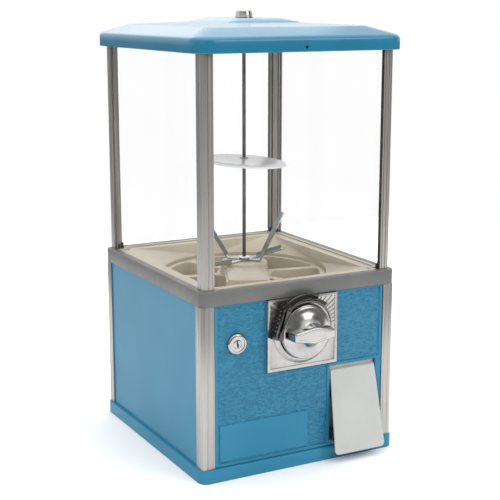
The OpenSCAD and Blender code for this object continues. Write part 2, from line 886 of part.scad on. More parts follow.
module lid_lock_plug() {
    color(chrome)
        translate([0, 0, lid_top + 6.4])
            difference() {
                cylinder(h = lid_lock_h - 6.4 - 0.4, d = plug_d);
                translate([-3.5, -0.7, 1]) cube([7, 1.4, 10]);
            }
}

// Outline of one pocket of the wheel, out to a given radius
module pocket_outline(out) {
    offset(r = pocket_r, $fn = 24)
        offset(delta = -pocket_r)
            difference() {
                circle(out, $fn = 96);
                circle(pocket_in);
                rotate(-180 / pockets) translate([0, -out * 2]) square([out * 2, out * 2]);
                rotate(180 / pockets) square(out * 2);
                rotate(180) translate([0, -out * 2]) square([out * 2, out * 4]);
                for (s = [-1, 1])
                    rotate(s * 180 / pockets)
                        translate([0, -spoke_w / 2]) square([out * 2, spoke_w]);
            }
}

// Dispensing wheel with its pockets and raised hollow hub
module dispensing_wheel() {
    bore_r = rod_d / 2 + rod_fit;
    tube_r = bore_r + 5;
    color(cream)
        difference() {
            rotate_extrude()
                polygon([
                    [bore_r, wheel_z],
                    [tube_r, wheel_z],
                    [tube_r, hub_top - 4],
                    [hub_r - 6, hub_top - 4],
                    [hub_r - 3, wheel_z],
                    [crown_in - 1.6, wheel_z],
                    [crown_in - 1.6, wheel_z + crown_ring_t],
                    [wheel_r, wheel_z + crown_ring_t],
                    [wheel_r, wheel_top - 1],
                    [wheel_r - 1, wheel_top],
                    [hub_r, wheel_top],
                    [hub_r - 1.5, hub_top - 2],
                    [hub_r - 3.5, hub_top],
                    [bore_r, hub_top]]);
            for (i = [0:pockets - 1])
                rotate(pocket_angle + i * 360 / pockets) {
                    translate([0, 0, wheel_z - 1]) linear_extrude(wheel_h + 2) pocket_outline(pocket_out);
                    translate([0, 0, wheel_z + crown_ring_t + 2])
                        linear_extrude(wheel_h) pocket_outline(wheel_r - pocket_top_edge);
                }
        }
}

// Ring of teeth that hangs below the wheel's edge
module crown_gear() {
    pitch = 360 / crown_teeth;
    color(black)
        union() {
            translate([0, 0, wheel_z])
                difference() {
                    cylinder(h = crown_ring_t, r = wheel_r - 0.5);
                    translate([0, 0, -1]) cylinder(h = crown_ring_t + 2, r = crown_in - 1.5);
                }
            for (i = [0:crown_teeth - 1])
                rotate(-90 + (i + 0.5) * pitch)
                    translate([crown_in, -crown_tooth_t / 2, wheel_z - crown_tooth_h])
                        cube([tooth_face, crown_tooth_t, crown_tooth_h + 1]);
        }
}

// One arm of an agitator strip: level part, bend and sloping part with a folded edge
module agitator_arm(len, angle) {
    translate([0, -strip_w / 2 - 0.15, 0]) cube([strip_bend_r, strip_w + 0.3, strip_t]);
    translate([strip_bend_r, 0, -0.03])
        rotate([0, -angle, 0]) {
            translate([-0.6, -strip_w / 2, 0]) cube([len, strip_w, strip_t]);
            translate([strip_fold - 2, strip_w / 2 - strip_t, 0])
                cube([len - strip_fold + 1.4, strip_t, strip_fold]);
        }
}

// Agitator: one strip with raised arms, one with low arms, lying on the hub
module agitator() {
    color(plated)
        translate([0, 0, hub_top + agitator_gap])
            rotate(agitator_turn)
                difference() {
                    union() {
                        translate([0, 0, strip_t - 0.1]) {
                            agitator_arm(raised_arm, raised_angle);
                            rotate(180) agitator_arm(raised_arm, second_angle);
                        }
                        for (a = [0, 180]) rotate(strip_cross + a) agitator_arm(low_arm, low_angle);
                        cylinder(h = 2 * strip_t - 0.1, r = 9);
                    }
                    translate([0, 0, -1]) cylinder(h = 10, d = rod_d + 1);
                    for (a = [45, 225]) rotate(a) translate([6, 0, -1]) cylinder(h = 10, d = 1.8);
                }
}

module agitator_screws() {
    top = hub_top + agitator_gap + 2 * strip_t - 0.1;
    color(black)
        for (a = [45, 225])
            rotate(agitator_turn + a)
                translate([6, 0, hub_top]) {
                    cylinder(h = 2 * strip_t, d = 1.6);
                    translate([0, 0, top - hub_top]) cylinder(h = 1.2, d = 3.6);
                }
}

// White ring round the rod on top of the agitator
module hub_washer() {
    color(disc_white)
        translate([0, 0, hub_top + agitator_gap + 2 * strip_t + 1.2])
            difference() {
                cylinder(h = 2, r = 8);
                translate([0, 0, -1]) cylinder(h = 4, d = rod_d + 2 * rod_fit);
            }
}

// Places children drawn in a level plane upright: their +z points to the front from depth y
module facing(x, z, y) {
    translate([x, y, z]) rotate([90, 0, 0]) children();
}

// Block in the door's frame: from depth y0 to y1
module slab(x0, x1, z0, z1, y0, y1) {
    translate([x0, y0, z0]) cube([x1 - x0, y1 - y0, z1 - z0]);
}

module front_door() {
    rim = 3;
    x1 = door_w / 2;
    fx = x1 - field_margin;
    fz0 = door_z + field_margin;
    fz1 = door_top - 2;
    split_x = hatch_x - 4;
    split_z = hatch_z + hatch_h + 3;
    hole_w = housing_w + 2 * seat;
    color(paint_blue)
        difference() {
            union() {
                slab(-x1, hinge_x, door_z, door_top, door_face, door_rear);
                translate([hinge_x, hinge_y, door_z]) cylinder(h = door_top - door_z, r = door_t / 2);
            }
            slab(-x1 + rim, x1 - door_t, door_z + rim, door_top - rim, door_inner, door_rear + 1);
            difference() {
                union() {
                    slab(-fx, split_x, fz0, fz1, door_face - 1, door_face + field_depth);
                    slab(-fx, fx, split_z, fz1, door_face - 1, door_face + field_depth);
                }
                slab(plaque_x, plaque_x + plaque_w, plaque_z, plaque_z + plaque_h,
                     door_face - 2, door_face + 2);
                slab(-plate_w / 2 - 1, plate_w / 2 + 1, plate_top - plate_h - 1, plate_top + 2,
                     door_face - 2, door_face + 2);
            }
            slab(hatch_x, hatch_x + hatch_w, hatch_z, hatch_z + hatch_h, door_face - 1, door_inner + 1);
            slab(-hole_w / 2, hole_w / 2, knob_z - hole_w / 2, knob_z + hole_w / 2,
                 door_face - 1, door_inner + 1);
            facing(-lock_x, belt_z - lock_drop, door_inner + 1) cylinder(h = door_skin + 2, d = lock_barrel_d + 2 * rod_fit);
            at_studs(door_inner + 1) cylinder(h = door_skin + 2, d = stud_d + 0.2);
            for (z = [door_z - 1, door_top - hinge_pin_len / 2])
                translate([hinge_x, hinge_y, z])
                    cylinder(h = hinge_pin_len / 2 + 1, d = hinge_pin_d + 2 * rod_fit);
        }
}

module door_hinge_pins() {
    color(plated)
        for (z = [base_h, belt_z])
            translate([hinge_x, hinge_y, z - hinge_pin_len / 2 + 0.5])
                cylinder(h = hinge_pin_len - 1, d = hinge_pin_d);
}

// The four places of the faceplate's studs, from depth y
module at_studs(y) {
    for (x = [-1, 1], z = [-1, 1]) facing(x * stud_x, knob_z + z * stud_z, y) children();
}

// Faceplate of the coin mechanism: border, fan ribs, bezel and studs
module coin_faceplate() {
    z0 = plate_top - plate_h;
    b = plate_border;
    stud_y = door_inner + 6;
    color(chrome)
        difference() {
            union() {
                slab(-plate_w / 2, plate_w / 2, z0, plate_top, plate_face, door_face);
                difference() {
                    slab(-plate_w / 2, plate_w / 2, z0, plate_top, plate_face - plate_border_h, plate_face + 1);
                    slab(-plate_w / 2 + b, plate_w / 2 - b, z0 + b, plate_top - b,
                         plate_face - 5, plate_face + 2);
                }
                intersection() {
                    slab(-plate_w / 2 + b, plate_w / 2 - b, z0 + b, plate_top - b,
                         plate_face - plate_border_h, plate_face + 1);
                    facing(0, knob_z, plate_face + 0.5)
                        linear_extrude(plate_border_h + 0.3)
                            for (a = [6:6:72], m = [0, 180])
                                rotate(m == 0 ? a : 180 - a)
                                    translate([bezel_r - 1, -rib_w / 2]) square([plate_w, rib_w]);
                }
                facing(0, knob_z, plate_face)
                    rotate_extrude()
                        polygon([
                            [dial_r + dial_gap, -0.5],
                            [bezel_r, -0.5],
                            [bezel_r, 1.5],
                            [ring_top_r, bezel_h],
                            [dial_r + dial_gap + 0.8, bezel_h],
                            [dial_r + dial_gap, bezel_h - 0.8]]);
                at_studs(stud_y) cylinder(h = stud_y - door_face + 1, d = stud_d);
            }
            facing(0, knob_z, door_face + 1) cylinder(h = plate_t + 2, d = shaft_d + 2 * rod_fit);
        }
}

// Chrome arch over the dial with the leaning block of the coin slot on its left
module coin_arch() {
    inner = ring_top_r - 0.6;
    top = bezel_h + seat;
    low = plate_border_h + 0.4;
    slope = bezel_r + 0.4;
    ridge = slope + 0.8;
    start = 51;
    rail_start = start + 18;
    rail_angle = arch_angle - 32;
    block_at = 158;
    lean_x = slope * cos(block_at) + 4.5;
    lean_z = slope * sin(block_at) - 1;
    lug_w = 9;
    color("#6B6A6A")
        facing(0, knob_z, plate_face)
            difference() {
                union() {
                    rotate(start) rotate_extrude(angle = arch_angle)
                        polygon([
                            [inner, top],
                            [ring_top_r + 0.2, top],
                            [slope, low],
                            [arch_mid_r, low],
                            [arch_mid_r, arch_h],
                            [ridge - 0.8, arch_h],
                            [ridge - 3.2, arch_h - 2],
                            [inner, arch_h - 2.6]]);
                    rotate(rail_start) rotate_extrude(angle = rail_angle)
                        polygon([
                            [ridge, arch_h / 2],
                            [arch_r, arch_h / 2],
                            [arch_r, arch_h - 4.5],
                            [arch_r - 1.2, arch_h - 3.3],
                            [ridge, arch_h - 3.3]]);
                    rotate(rail_start + rail_angle - 2)
                        translate([ridge - 0.6, -lug_w / 4, arch_h / 2 - 0.4])
                            cube([arch_r - ridge + 3.6, lug_w, arch_h / 2 - 0.9]);
                    difference() {
                        translate([lean_x, lean_z, 0]) rotate(-slot_lean) slot_block(low + 0.15);
                        translate([0, 0, -1]) cylinder(h = arch_h + 4, r = dial_r + dial_gap);
                        rotate_extrude()
                            polygon([[0, -1], [bezel_r + seat, -1], [bezel_r + seat, 1.7],
                                     [ring_top_r + seat, top - 0.05], [0, top - 0.05]]);
                    }
                }
                translate([lean_x, lean_z, low - 1])
                    rotate(-slot_lean) translate([-3, -10, 0]) cube([coin_slot_w, coin_d + 3, arch_h + 3]);
            }
}

// The coin slot's block: body with cross ridges down its outer side and a foot
module slot_block(low) {
    w = slot_block_w;
    n = 7;
    step = slot_block_len / (n + 1);
    translate([-w / 2, -slot_block_len / 2, low]) cube([w, slot_block_len, arch_h - low - 1]);
    translate([-w / 2 + 5, -slot_block_len / 2, low]) cube([w - 5, slot_block_len - 3, arch_h + 0.4 - low]);
    for (i = [0:n - 1])
        translate([-w / 2 - 2, -slot_block_len / 2 + (i + 0.8) * step, low]) cube([w, step / 2, arch_h - low - 3]);
    translate([-w / 2 - 3.5, -slot_block_len / 2 - 1, low]) cube([w + 3.5, 6, arch_h - low - 2]);
}

module coin_dial() {
    bore = shaft_d / 2 + rod_fit;
    color(chrome)
        facing(0, knob_z, dial_back)
            rotate_extrude()
                polygon([[bore, 0], [dial_r, 0], [dial_r, dial_t - 1.6], [dial_r - 1.6, dial_t], [bore, dial_t]]);
}

// Handle: a dome on the dial's face that rises to a ridge with a long six-sided face
module coin_handle() {
    dome_r = dial_r - 2.5;
    hub_r1 = handle_w / 2 + 0.5;
    rise = handle_out - 1.8;
    color(chrome)
        facing(0, knob_z, dial_face - 0.02)
            difference() {
                union() {
                    rotate_extrude()
                        polygon([
                            [0, 0],
                            [dome_r, 0],
                            [dome_r, 0.6],
                            [dome_r - 6, 2],
                            [dome_r - 13, 5.2],
                            [hub_r1 + 3.5, 9],
                            [hub_r1, 13],
                            [hub_r1 - 1.5, handle_out - 4],
                            [0, handle_out - 4]]);
                    intersection() {
                        union() {
                            linear_extrude(rise) lozenge(2 * dome_r, handle_w, handle_end_w - 1);
                            linear_extrude(handle_out) lozenge(2 * dome_r, handle_w - 2, handle_end_w - 3);
                        }
                        rotate([90, 0, 0])
                            linear_extrude(2 * handle_w, center = true)
                                polygon([[-dome_r, 0.1], [dome_r, 0.1], [handle_len / 2, rise],
                                         [handle_len / 2 - 1, handle_out], [1 - handle_len / 2, handle_out],
                                         [-handle_len / 2, rise]]);
                    }
                }
                translate([0, 0, -1]) cylinder(h = handle_out - 4, d = shaft_d + 2 * rod_fit);
            }
}

// Six-sided outline, widest in the middle
module lozenge(len, mid, end) {
    polygon([[-len / 2, -end / 2], [0, -mid / 2], [len / 2, -end / 2],
             [len / 2, end / 2], [0, mid / 2], [-len / 2, end / 2]]);
}

module coin_shaft() {
    front = handle_face + 5.5;
    rear = pinion_y + tooth_face / 2 + 3;
    color(plated)
        translate([0, rear, knob_z]) rotate([90, 0, 0]) cylinder(h = rear - front, d = shaft_d);
}

// Box behind the door that holds the coin wheel, open to the front and below
module coin_housing() {
    h = housing_w / 2;
    w = housing_wall;
    color(galvanised)
        difference() {
            union() {
                slab(-h, h, knob_z - h, knob_z + h, door_face, housing_rear);
                slab(-plate_w / 2 + 1.5, plate_w / 2 - 1.5, knob_z - stud_z - 4.5, knob_z + stud_z + 4.5,
                     door_inner, door_inner + 2);
            }
            slab(-h + w, h - w, knob_z - h + w, knob_z + h - w, door_face - 1, housing_rear - w);
            slab(-h + w + 4, -4, knob_z - h - 1, knob_z - h + w + 1, door_inner + 4, housing_rear - w - 3);
            facing(0, knob_z, housing_rear + 1) cylinder(h = w + 2, d = shaft_d + 2 * rod_fit);
            at_studs(door_inner + 3) cylinder(h = 4, d = stud_d + 0.2);
        }
}

module housing_nuts() {
    color(plated)
        at_studs(door_inner + 2.1 + nut_t)
            difference() {
                cylinder(h = nut_t, d = 2 * stud_d, $fn = 6);
                translate([0, 0, -1]) cylinder(h = nut_t + 2, d = stud_d + 0.05);
            }
}

// Coin wheel with its notch and, behind it, the ratchet
module coin_wheel() {
    ratchet_r = coin_wheel_r - 6;
    color(galvanised)
        facing(0, knob_z, coin_wheel_y)
            difference() {
                union() {
                    cylinder(h = coin_wheel_t, r = coin_wheel_r);
                    translate([0, 0, -ratchet_t])
                        linear_extrude(ratchet_t + 0.5) {
                            circle(ratchet_r - 3);
                            for (i = [0:ratchet_teeth - 1])
                                rotate(i * 360 / ratchet_teeth)
                                    polygon([[ratchet_r - 8, 0], [ratchet_r, 0], [ratchet_r - 4.5, 7], [ratchet_r - 8, 5]]);
                        }
                }
                translate([0, 0, -6]) cylinder(h = 20, d = shaft_d + 2 * rod_fit);
                rotate(135) translate([coin_wheel_r - 3, 0, coin_wheel_t * 0.6]) cylinder(h = 4, d = coin_d);
            }
}

// Pawl with its pivot on the housing's rear wall
module coin_pawl() {
    y = housing_rear - housing_wall;
    arm_z = y - coin_wheel_y - ratchet_t + 0.5;
    color(plated)
        facing(pawl_x, knob_z + pawl_rise, y)
            difference() {
                union() {
                    cylinder(h = arm_z + ratchet_t - 0.7, d = 6);
                    rotate(-122) translate([0, -2, arm_z]) cube([13, 4, ratchet_t - 1]);
                }
                translate([0, 0, -1]) cylinder(h = housing_depth, d = 2);
            }
}

module drive_pinion() {
    len = tooth_face;
    color(black)
        facing(0, knob_z, pinion_y + len / 2)
            difference() {
                union() {
                    cylinder(h = len, r = pinion_root_r);
                    for (i = [0:pinion_teeth - 1])
                        rotate(90 + i * 360 / pinion_teeth)
                            translate([pinion_root_r - 2, -pinion_tooth_t / 2, 0])
                                cube([pinion_tip_r - pinion_root_r + 2, pinion_tooth_t, len]);
                    translate([0, 0, len - 1]) cylinder(h = 7, r = shaft_d / 2 + 4);
                }
                translate([0, 0, -1]) cylinder(h = len + 10, d = shaft_d + 0.02);
            }
}

// Lock in the door: collar with a knurled rim, and threaded barrel
module door_lock_barrel() {
    color(chrome)
        facing(-lock_x, belt_z - lock_drop, door_face + field_depth)
            difference() {
                union() {
                    cylinder(h = lock_collar_t - 1.5, d = lock_collar_d);
                    translate([0, 0, lock_collar_t - 1.6])
                        cylinder(h = 1.6, d1 = lock_collar_d, d2 = lock_collar_d - 3);
                    translate([0, 0, field_depth - lock_barrel_len])
                        cylinder(h = lock_barrel_len, d = lock_barrel_d);
                }
                translate([0, 0, lock_collar_t - 1.2]) cylinder(h = 3, d = lock_barrel_d + 2);
                translate([0, 0, -lock_barrel_len]) cylinder(h = lock_barrel_len + 10, d = plug_d + 2 * rod_fit);
            }
}

module door_lock_nut() {
    color(plated)
        facing(-lock_x, belt_z - lock_drop, door_inner + 3)
            difference() {
                cylinder(h = 3, d = lock_barrel_d + 8, $fn = 6);
                translate([0, 0, -1]) cylinder(h = 5, d = lock_barrel_d + 0.1);
            }
}

module door_lock_plug() {
    back = lock_barrel_len - field_depth + 4;
    front = lock_collar_t - 1.5;
    color(chrome)
        facing(-lock_x, belt_z - lock_drop, door_face + field_depth)
            difference() {
                translate([0, 0, -back]) cylinder(h = back + front, d = plug_d);
                translate([-0.7, -4, front - 3]) cube([1.4, 8, 4]);
            }
}

// Cranked cam on the plug, shown turned down, in its open position
module door_lock_cam() {
    y_back = door_face + lock_barrel_len + 0.6;
    crank_z = 20;
    tip_y = door_rear + 0.7;
    color(plated)
        translate([-lock_x, 0, belt_z - lock_drop])
            difference() {
                union() {
                    facing(0, 0, y_back + cam_t) cylinder(h = cam_t, d = plug_d + 4);
                    slab(-cam_w / 2, cam_w / 2, -crank_z, 0, y_back, y_back + cam_t);
                    slab(-cam_w / 2, cam_w / 2, -crank_z, -crank_z + cam_t, tip_y, y_back + cam_t);
                    slab(-cam_w / 2, cam_w / 2, -cam_len, -crank_z + cam_t, tip_y, tip_y + cam_t);
                }
                facing(0, 0, y_back + cam_t + 1) cylinder(h = cam_t + 2, d = plug_d + 0.02);
            }
}

// Flap: knuckle on the pin, bent top and plate that widens towards its foot
module dispensing_flap() {
    half = flap_w / 2;
    foot = half + flap_flare;
    r = flap_r;
    color(flap_white)
        difference() {
            union() {
                translate([hatch_mid - half, flap_pin_y, flap_pin_z])
                    rotate([0, 90, 0]) cylinder(h = flap_w, r = knuckle_r);
                translate([hatch_mid - half, 0, 0])
                    rotate([90, 0, 90])
                        linear_extrude(flap_w)
                            translate([flap_pin_y, flap_pin_z])
                                rotate(180 + flap_bend_angle)
                                    translate([0, -flap_t / 2]) square([flap_bend_len, flap_t]);
                translate([hatch_mid, flap_start_y, flap_start_z])
                    rotate([90 - flap_tilt, 0, 0])
                        translate([0, 0, -flap_t / 2])
                            linear_extrude(flap_t)
                                union() {
                                    polygon([
                                        [-half, flap_t / 2],
                                        [half, flap_t / 2],
                                        [foot, -flap_len + r],
                                        [-foot, -flap_len + r]]);
                                    translate([-foot + r, -flap_len]) square([2 * (foot - r), r + eps]);
                                    for (s = [-1, 1])
                                        translate([s * (foot - r), -flap_len + r]) circle(r);
                                }
            }
            translate([hatch_mid - half - 1, flap_pin_y, flap_pin_z])
                rotate([0, 90, 0]) cylinder(h = flap_w + 2, d = flap_pin_d + 2 * rod_fit);
        }
}

module flap_pin() {
    color(plated)
        translate([hatch_x - tray_wall - 1, flap_pin_y, flap_pin_z])
            rotate([0, 90, 0]) cylinder(h = hatch_w + 2 * tray_wall + 0.8, d = flap_pin_d);
}

// Catch tray on the door's inner side, with a lip through the opening that the flap rests on
module catch_tray() {
    t = tray_wall;
    x0 = hatch_x;
    x1 = hatch_x + hatch_w;
    floor_top = hatch_z + 2.5;
    side_h = hatch_h + 4;
    lip_top = floor_top + 4;
    lip_out = flap_start_y - (flap_start_z - lip_top) * tan(flap_tilt) + flap_t / 2 / cos(flap_tilt) + seat;
    ear = 9;
    color(galvanised)
        difference() {
            union() {
                for (x = [x0 - t, x1]) {
                    slab(x, x + t, hatch_z, hatch_z + catch_back_h, door_inner, catch_rear);
                    slab(x, x + t, hatch_z, hatch_z + side_h, door_inner, flap_pin_y + ear);
                }
                slab(x0 - t, x1 + t, hatch_z, hatch_z + catch_back_h, catch_rear - t, catch_rear);
                slab(x0 - t, x1 + t, hatch_z + 0.3, floor_top, door_inner, catch_rear);
                slab(hatch_x + 0.5, hatch_x + hatch_w - 0.5, hatch_z + 0.3, floor_top, lip_out, door_inner + 1);
                slab(hatch_x + 0.5, hatch_x + hatch_w - 0.5, hatch_z + 0.3, lip_top, lip_out, lip_out + t);
            }
            translate([x0 - t - 1, flap_pin_y, flap_pin_z])
                rotate([0, 90, 0]) cylinder(h = x1 - x0 + 2 * t + 2, d = flap_pin_d + 2 * rod_fit);
        }
}

// Chute from the hopper's outlet: a long run to the right, then a short run to the door
module outlet_chute() {
    t = tray_wall;
    half = chute_w / 2;
    x0 = outlet_x - outlet_d / 2 - 4;
    x1 = hatch_mid - half;
    x2 = hatch_mid + half;
    y0 = outlet_y - half;
    y1 = outlet_y + half;
    y_end = catch_rear + 3;
    z_out = floor_z - hopper_wall;
    top = groove_z - hopper_wall - 4;
    za = top - chute_rise;
    zb = za - (x1 - x0) * tan(chute_slope);
    zc = zb - 2 - (y1 - y_end) * tan(chute_turn_slope);
    color(galvanised)
        union() {
            translate([0, y1, 0])
                rotate([90, 0, 0])
                    linear_extrude(chute_w)
                        polygon([[x0, za], [x1 + 3, zb - 3 * tan(chute_slope)],
                                 [x1 + 3, zb - t - 3 * tan(chute_slope)], [x0, za - t]]);
            for (y = [y0, y1 + t])
                translate([0, y, 0])
                    rotate([90, 0, 0])
                        linear_extrude(t)
                            polygon([[x0, za - t], [x1, zb - t], [x1, zb + chute_side], [x0 + 20, top], [x0, top]]);
            slab(x0 - t, x0, za - t, top, y0 - t, y1 + t);
            slab(x0 - t, x0, top - 1, z_out, outlet_y, outlet_y + 20);
            slab(x1 - 30, x1 - 8, zb + chute_side - 1, z_out, y1, y1 + t);
            translate([x1, 0, 0])
                rotate([90, 0, 90])
                    linear_extrude(chute_w)
                        polygon([[y1, zb - 2 - t], [y1, zb - 2], [y_end, zc], [y_end, zc - t]]);
            translate([x2, 0, 0])
                rotate([90, 0, 90])
                    linear_extrude(t)
                        polygon([[y1 + t, zb - 2 - t], [y1 + t, zb + chute_side], [y0, zb + chute_side],
                                 [y_end, zc + chute_side], [y_end, zc - t]]);
            translate([x1 - t, 0, 0])
                rotate([90, 0, 90])
                    linear_extrude(t)
                        polygon([[y0, zb - 12], [y0, zb + chute_side], [y_end, zc + chute_side], [y_end, zc - t]]);
            slab(x1 - t, x2 + t, zb - 2 - t, zb + chute_side, y1, y1 + t);
        }
}

// Open box for the coins, standing in the base tray
module cash_box() {
    t = tray_wall;
    color(galvanised)
        difference() {
            translate([cash_x, cash_y, floor_t]) cube([cash_w, cash_d, cash_h]);
            translate([cash_x + t, cash_y + t, floor_t + t]) cube([cash_w - 2 * t, cash_d - 2 * t, cash_h]);
            translate([cash_x + cash_w / 2, cash_y - 1, floor_t + cash_h - 8])
                rotate([-90, 0, 0]) cylinder(h = t + 2, d = 22);
        }
}

base_tray();
side_panel(-1);  // left_panel
side_panel(1);  // right_panel
rear_panel();
lower_post(-1, -1);  // lower_post_front_left
lower_post(1, -1);  // lower_post_front_right
lower_post(-1, 1);  // lower_post_rear_left
lower_post(1, 1);  // lower_post_rear_right
belt_frame();
hopper_tray();
outlet_guard();
post_feet();
upper_post(-1, -1);  // upper_post_front_left
upper_post(1, -1);  // upper_post_front_right
upper_post(-1, 1);  // upper_post_rear_left
upper_post(1, 1);  // upper_post_rear_right
end_window(-1);  // front_window
end_window(1);  // rear_window
side_window(-1);  // left_window
side_window(1);  // right_window
center_rod();
deflector_disc();
disc_clips();
rod_nut();
lid();
lid_lock_barrel();
lid_lock_nut();
lid_lock_plug();
dispensing_wheel();
crown_gear();
agitator();
agitator_screws();
hub_washer();
front_door();
door_hinge_pins();
coin_faceplate();
coin_arch();
coin_housing();
housing_nuts();
coin_dial();
coin_handle();
coin_shaft();
coin_wheel();
drive_pinion();
coin_pawl();
door_lock_barrel();
door_lock_nut();
door_lock_plug();
door_lock_cam();
dispensing_flap();
flap_pin();
catch_tray();
outlet_chute();
cash_box();
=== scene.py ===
"""Countertop gumball machine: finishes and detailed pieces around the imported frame."""
import json
import math

import bmesh
import bpy
from bpy.props import FloatProperty, FloatVectorProperty, IntProperty, PointerProperty
from mathutils import Matrix, Vector


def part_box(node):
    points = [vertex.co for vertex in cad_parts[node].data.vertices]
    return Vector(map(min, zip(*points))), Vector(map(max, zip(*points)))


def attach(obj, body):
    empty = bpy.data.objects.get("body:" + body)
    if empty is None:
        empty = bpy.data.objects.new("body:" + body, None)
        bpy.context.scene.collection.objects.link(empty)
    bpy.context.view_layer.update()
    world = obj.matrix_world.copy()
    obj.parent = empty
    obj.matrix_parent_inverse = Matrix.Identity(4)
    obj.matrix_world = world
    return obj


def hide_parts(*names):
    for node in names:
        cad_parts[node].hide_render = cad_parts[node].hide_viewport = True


bl_info = {
    "name": "Gumball machine",
    "version": (1, 0, 0),
    "blender": (4, 5, 0),
    "location": "View3D > Sidebar > Gumball",
    "description": "Builds the finished pieces and materials of a square gumball machine",
    "category": "Add Mesh",
}

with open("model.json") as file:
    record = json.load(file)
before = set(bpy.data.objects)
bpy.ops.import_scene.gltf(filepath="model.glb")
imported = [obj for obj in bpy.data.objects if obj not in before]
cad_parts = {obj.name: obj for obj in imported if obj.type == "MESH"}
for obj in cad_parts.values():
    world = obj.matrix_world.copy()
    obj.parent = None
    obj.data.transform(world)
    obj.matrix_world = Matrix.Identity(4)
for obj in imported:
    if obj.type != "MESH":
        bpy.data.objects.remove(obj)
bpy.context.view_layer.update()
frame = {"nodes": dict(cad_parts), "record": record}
MM = 0.001
FINISHED = {}


# ---------------------------------------------------------------- measures from the frame

def span(node):
    """Lowest and highest corner of a CAD node, in millimetres."""
    lo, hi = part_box(node)
    return lo / MM, hi / MM


# ---------------------------------------------------------------- materials

def linear(hex_colour):
    """sRGB hex value to linear RGBA."""
    parts = [int(hex_colour[i:i + 2], 16) / 255 for i in (1, 3, 5)]
    return tuple(p / 12.92 if p <= 0.04045 else ((p + 0.055) / 1.055) ** 2.4 for p in parts) + (1.0,)


def add(tree, kind, inputs=None, **settings):
    """Adds a node. inputs maps a socket to a value or to another node's output socket."""
    node = tree.nodes.new(kind)
    for key, value in settings.items():
        setattr(node, key, value)
    for key, value in (inputs or {}).items():
        socket = node.inputs[key]
        if isinstance(value, bpy.types.NodeSocket):
            tree.links.new(value, socket)
        else:
            socket.default_value = value
    return node


def begin(name):
    """A material with its Principled shader, output and object coordinates."""
    mat = bpy.data.materials.new(name)
    mat.use_nodes = True
    tree = mat.node_tree
    tree.nodes.clear()
    shader = add(tree, "ShaderNodeBsdfPrincipled")
    add(tree, "ShaderNodeOutputMaterial", {"Surface": shader.outputs["BSDF"]})
    coords = add(tree, "ShaderNodeTexCoord").outputs["Object"]
    return mat, tree, shader, coords


def blotches(tree, coords, size_mm, detail=3.0, rough=0.5, stretch=(1, 1, 1)):
    """Noise whose patches are about size_mm across, in object space."""
    scale = tuple(s * 1000 / size_mm for s in stretch)
    place = add(tree, "ShaderNodeMapping", {"Vector": coords, "Scale": scale})
    return add(tree, "ShaderNodeTexNoise", {"Vector": place.outputs["Vector"], "Scale": 1.0,
                                            "Detail": detail, "Roughness": rough}).outputs["Fac"]


def shade(tree, fac, low, high, start=0.35, end=0.65):
    """Colour ramp between two hex colours."""
    ramp = add(tree, "ShaderNodeValToRGB", {"Fac": fac})
    ramp.color_ramp.elements[0].position = start
    ramp.color_ramp.elements[0].color = linear(low)
    ramp.color_ramp.elements[1].position = end
    ramp.color_ramp.elements[1].color = linear(high)
    return ramp.outputs["Color"]


def between(tree, fac, low, high, start=0.3, end=0.7):
    """Maps a pattern to a range of numbers."""
    return add(tree, "ShaderNodeMapRange", {"Value": fac, "From Min": start, "From Max": end,
                                            "To Min": low, "To Max": high}).outputs["Result"]


def bump(tree, shader, height, depth_mm, strength):
    """Adds a bump of a real depth to the shader."""
    node = add(tree, "ShaderNodeBump", {"Height": height, "Distance": depth_mm * MM, "Strength": strength})
    tree.links.new(node.outputs["Normal"], shader.inputs["Normal"])


def link(tree, output, shader, socket):
    tree.links.new(output, shader.inputs[socket])


def gloss_enamel(name, low, high, rough=0.3, sheen=0.22):
    """Stoved gloss enamel on steel: an even sheen, with the colour drifting in patches about 90 mm across."""
    mat, tree, shader, coords = begin(name)
    link(tree, shade(tree, blotches(tree, coords, 90, 1.0), low, high), shader, "Base Color")
    shader.inputs["Roughness"].default_value = rough
    shader.inputs["IOR"].default_value = 1.5
    shader.inputs["Specular IOR Level"].default_value = sheen
    return mat


def grained_enamel(name, low, high):
    """Hammered enamel: soft ripples about 6 mm wide and 2 mm high, with glossy tops and fine creases."""
    mat, tree, shader, coords = begin(name)
    place = add(tree, "ShaderNodeMapping", {"Vector": coords, "Scale": (175, 175, 430)})
    ripple = add(tree, "ShaderNodeTexNoise", {"Vector": place.outputs["Vector"], "Scale": 1.0, "Detail": 1.5,
                                              "Roughness": 0.5, "Distortion": 0.9})
    height = between(tree, ripple.outputs["Fac"], 0.0, 1.0, 0.36, 0.6)
    link(tree, shade(tree, height, low, high, 0.0, 0.8), shader, "Base Color")
    link(tree, between(tree, height, 0.4, 0.26, 0.0, 1.0), shader, "Roughness")
    shader.inputs["IOR"].default_value = 1.5
    shader.inputs["Specular IOR Level"].default_value = 0.32
    bump(tree, shader, height, 0.6, 0.9)
    return mat


def brushed_aluminium(name, low, high):
    """Mill-finished extrusion: fine upright die lines, satin."""
    mat, tree, shader, coords = begin(name)
    lines = blotches(tree, coords, 0.8, 2.0, 0.6, (1, 1, 0.004))
    link(tree, shade(tree, lines, low, high, 0.3, 0.7), shader, "Base Color")
    shader.inputs["Metallic"].default_value = 0.85
    link(tree, between(tree, lines, 0.28, 0.42), shader, "Roughness")
    bump(tree, shader, lines, 0.05, 0.5)
    return mat


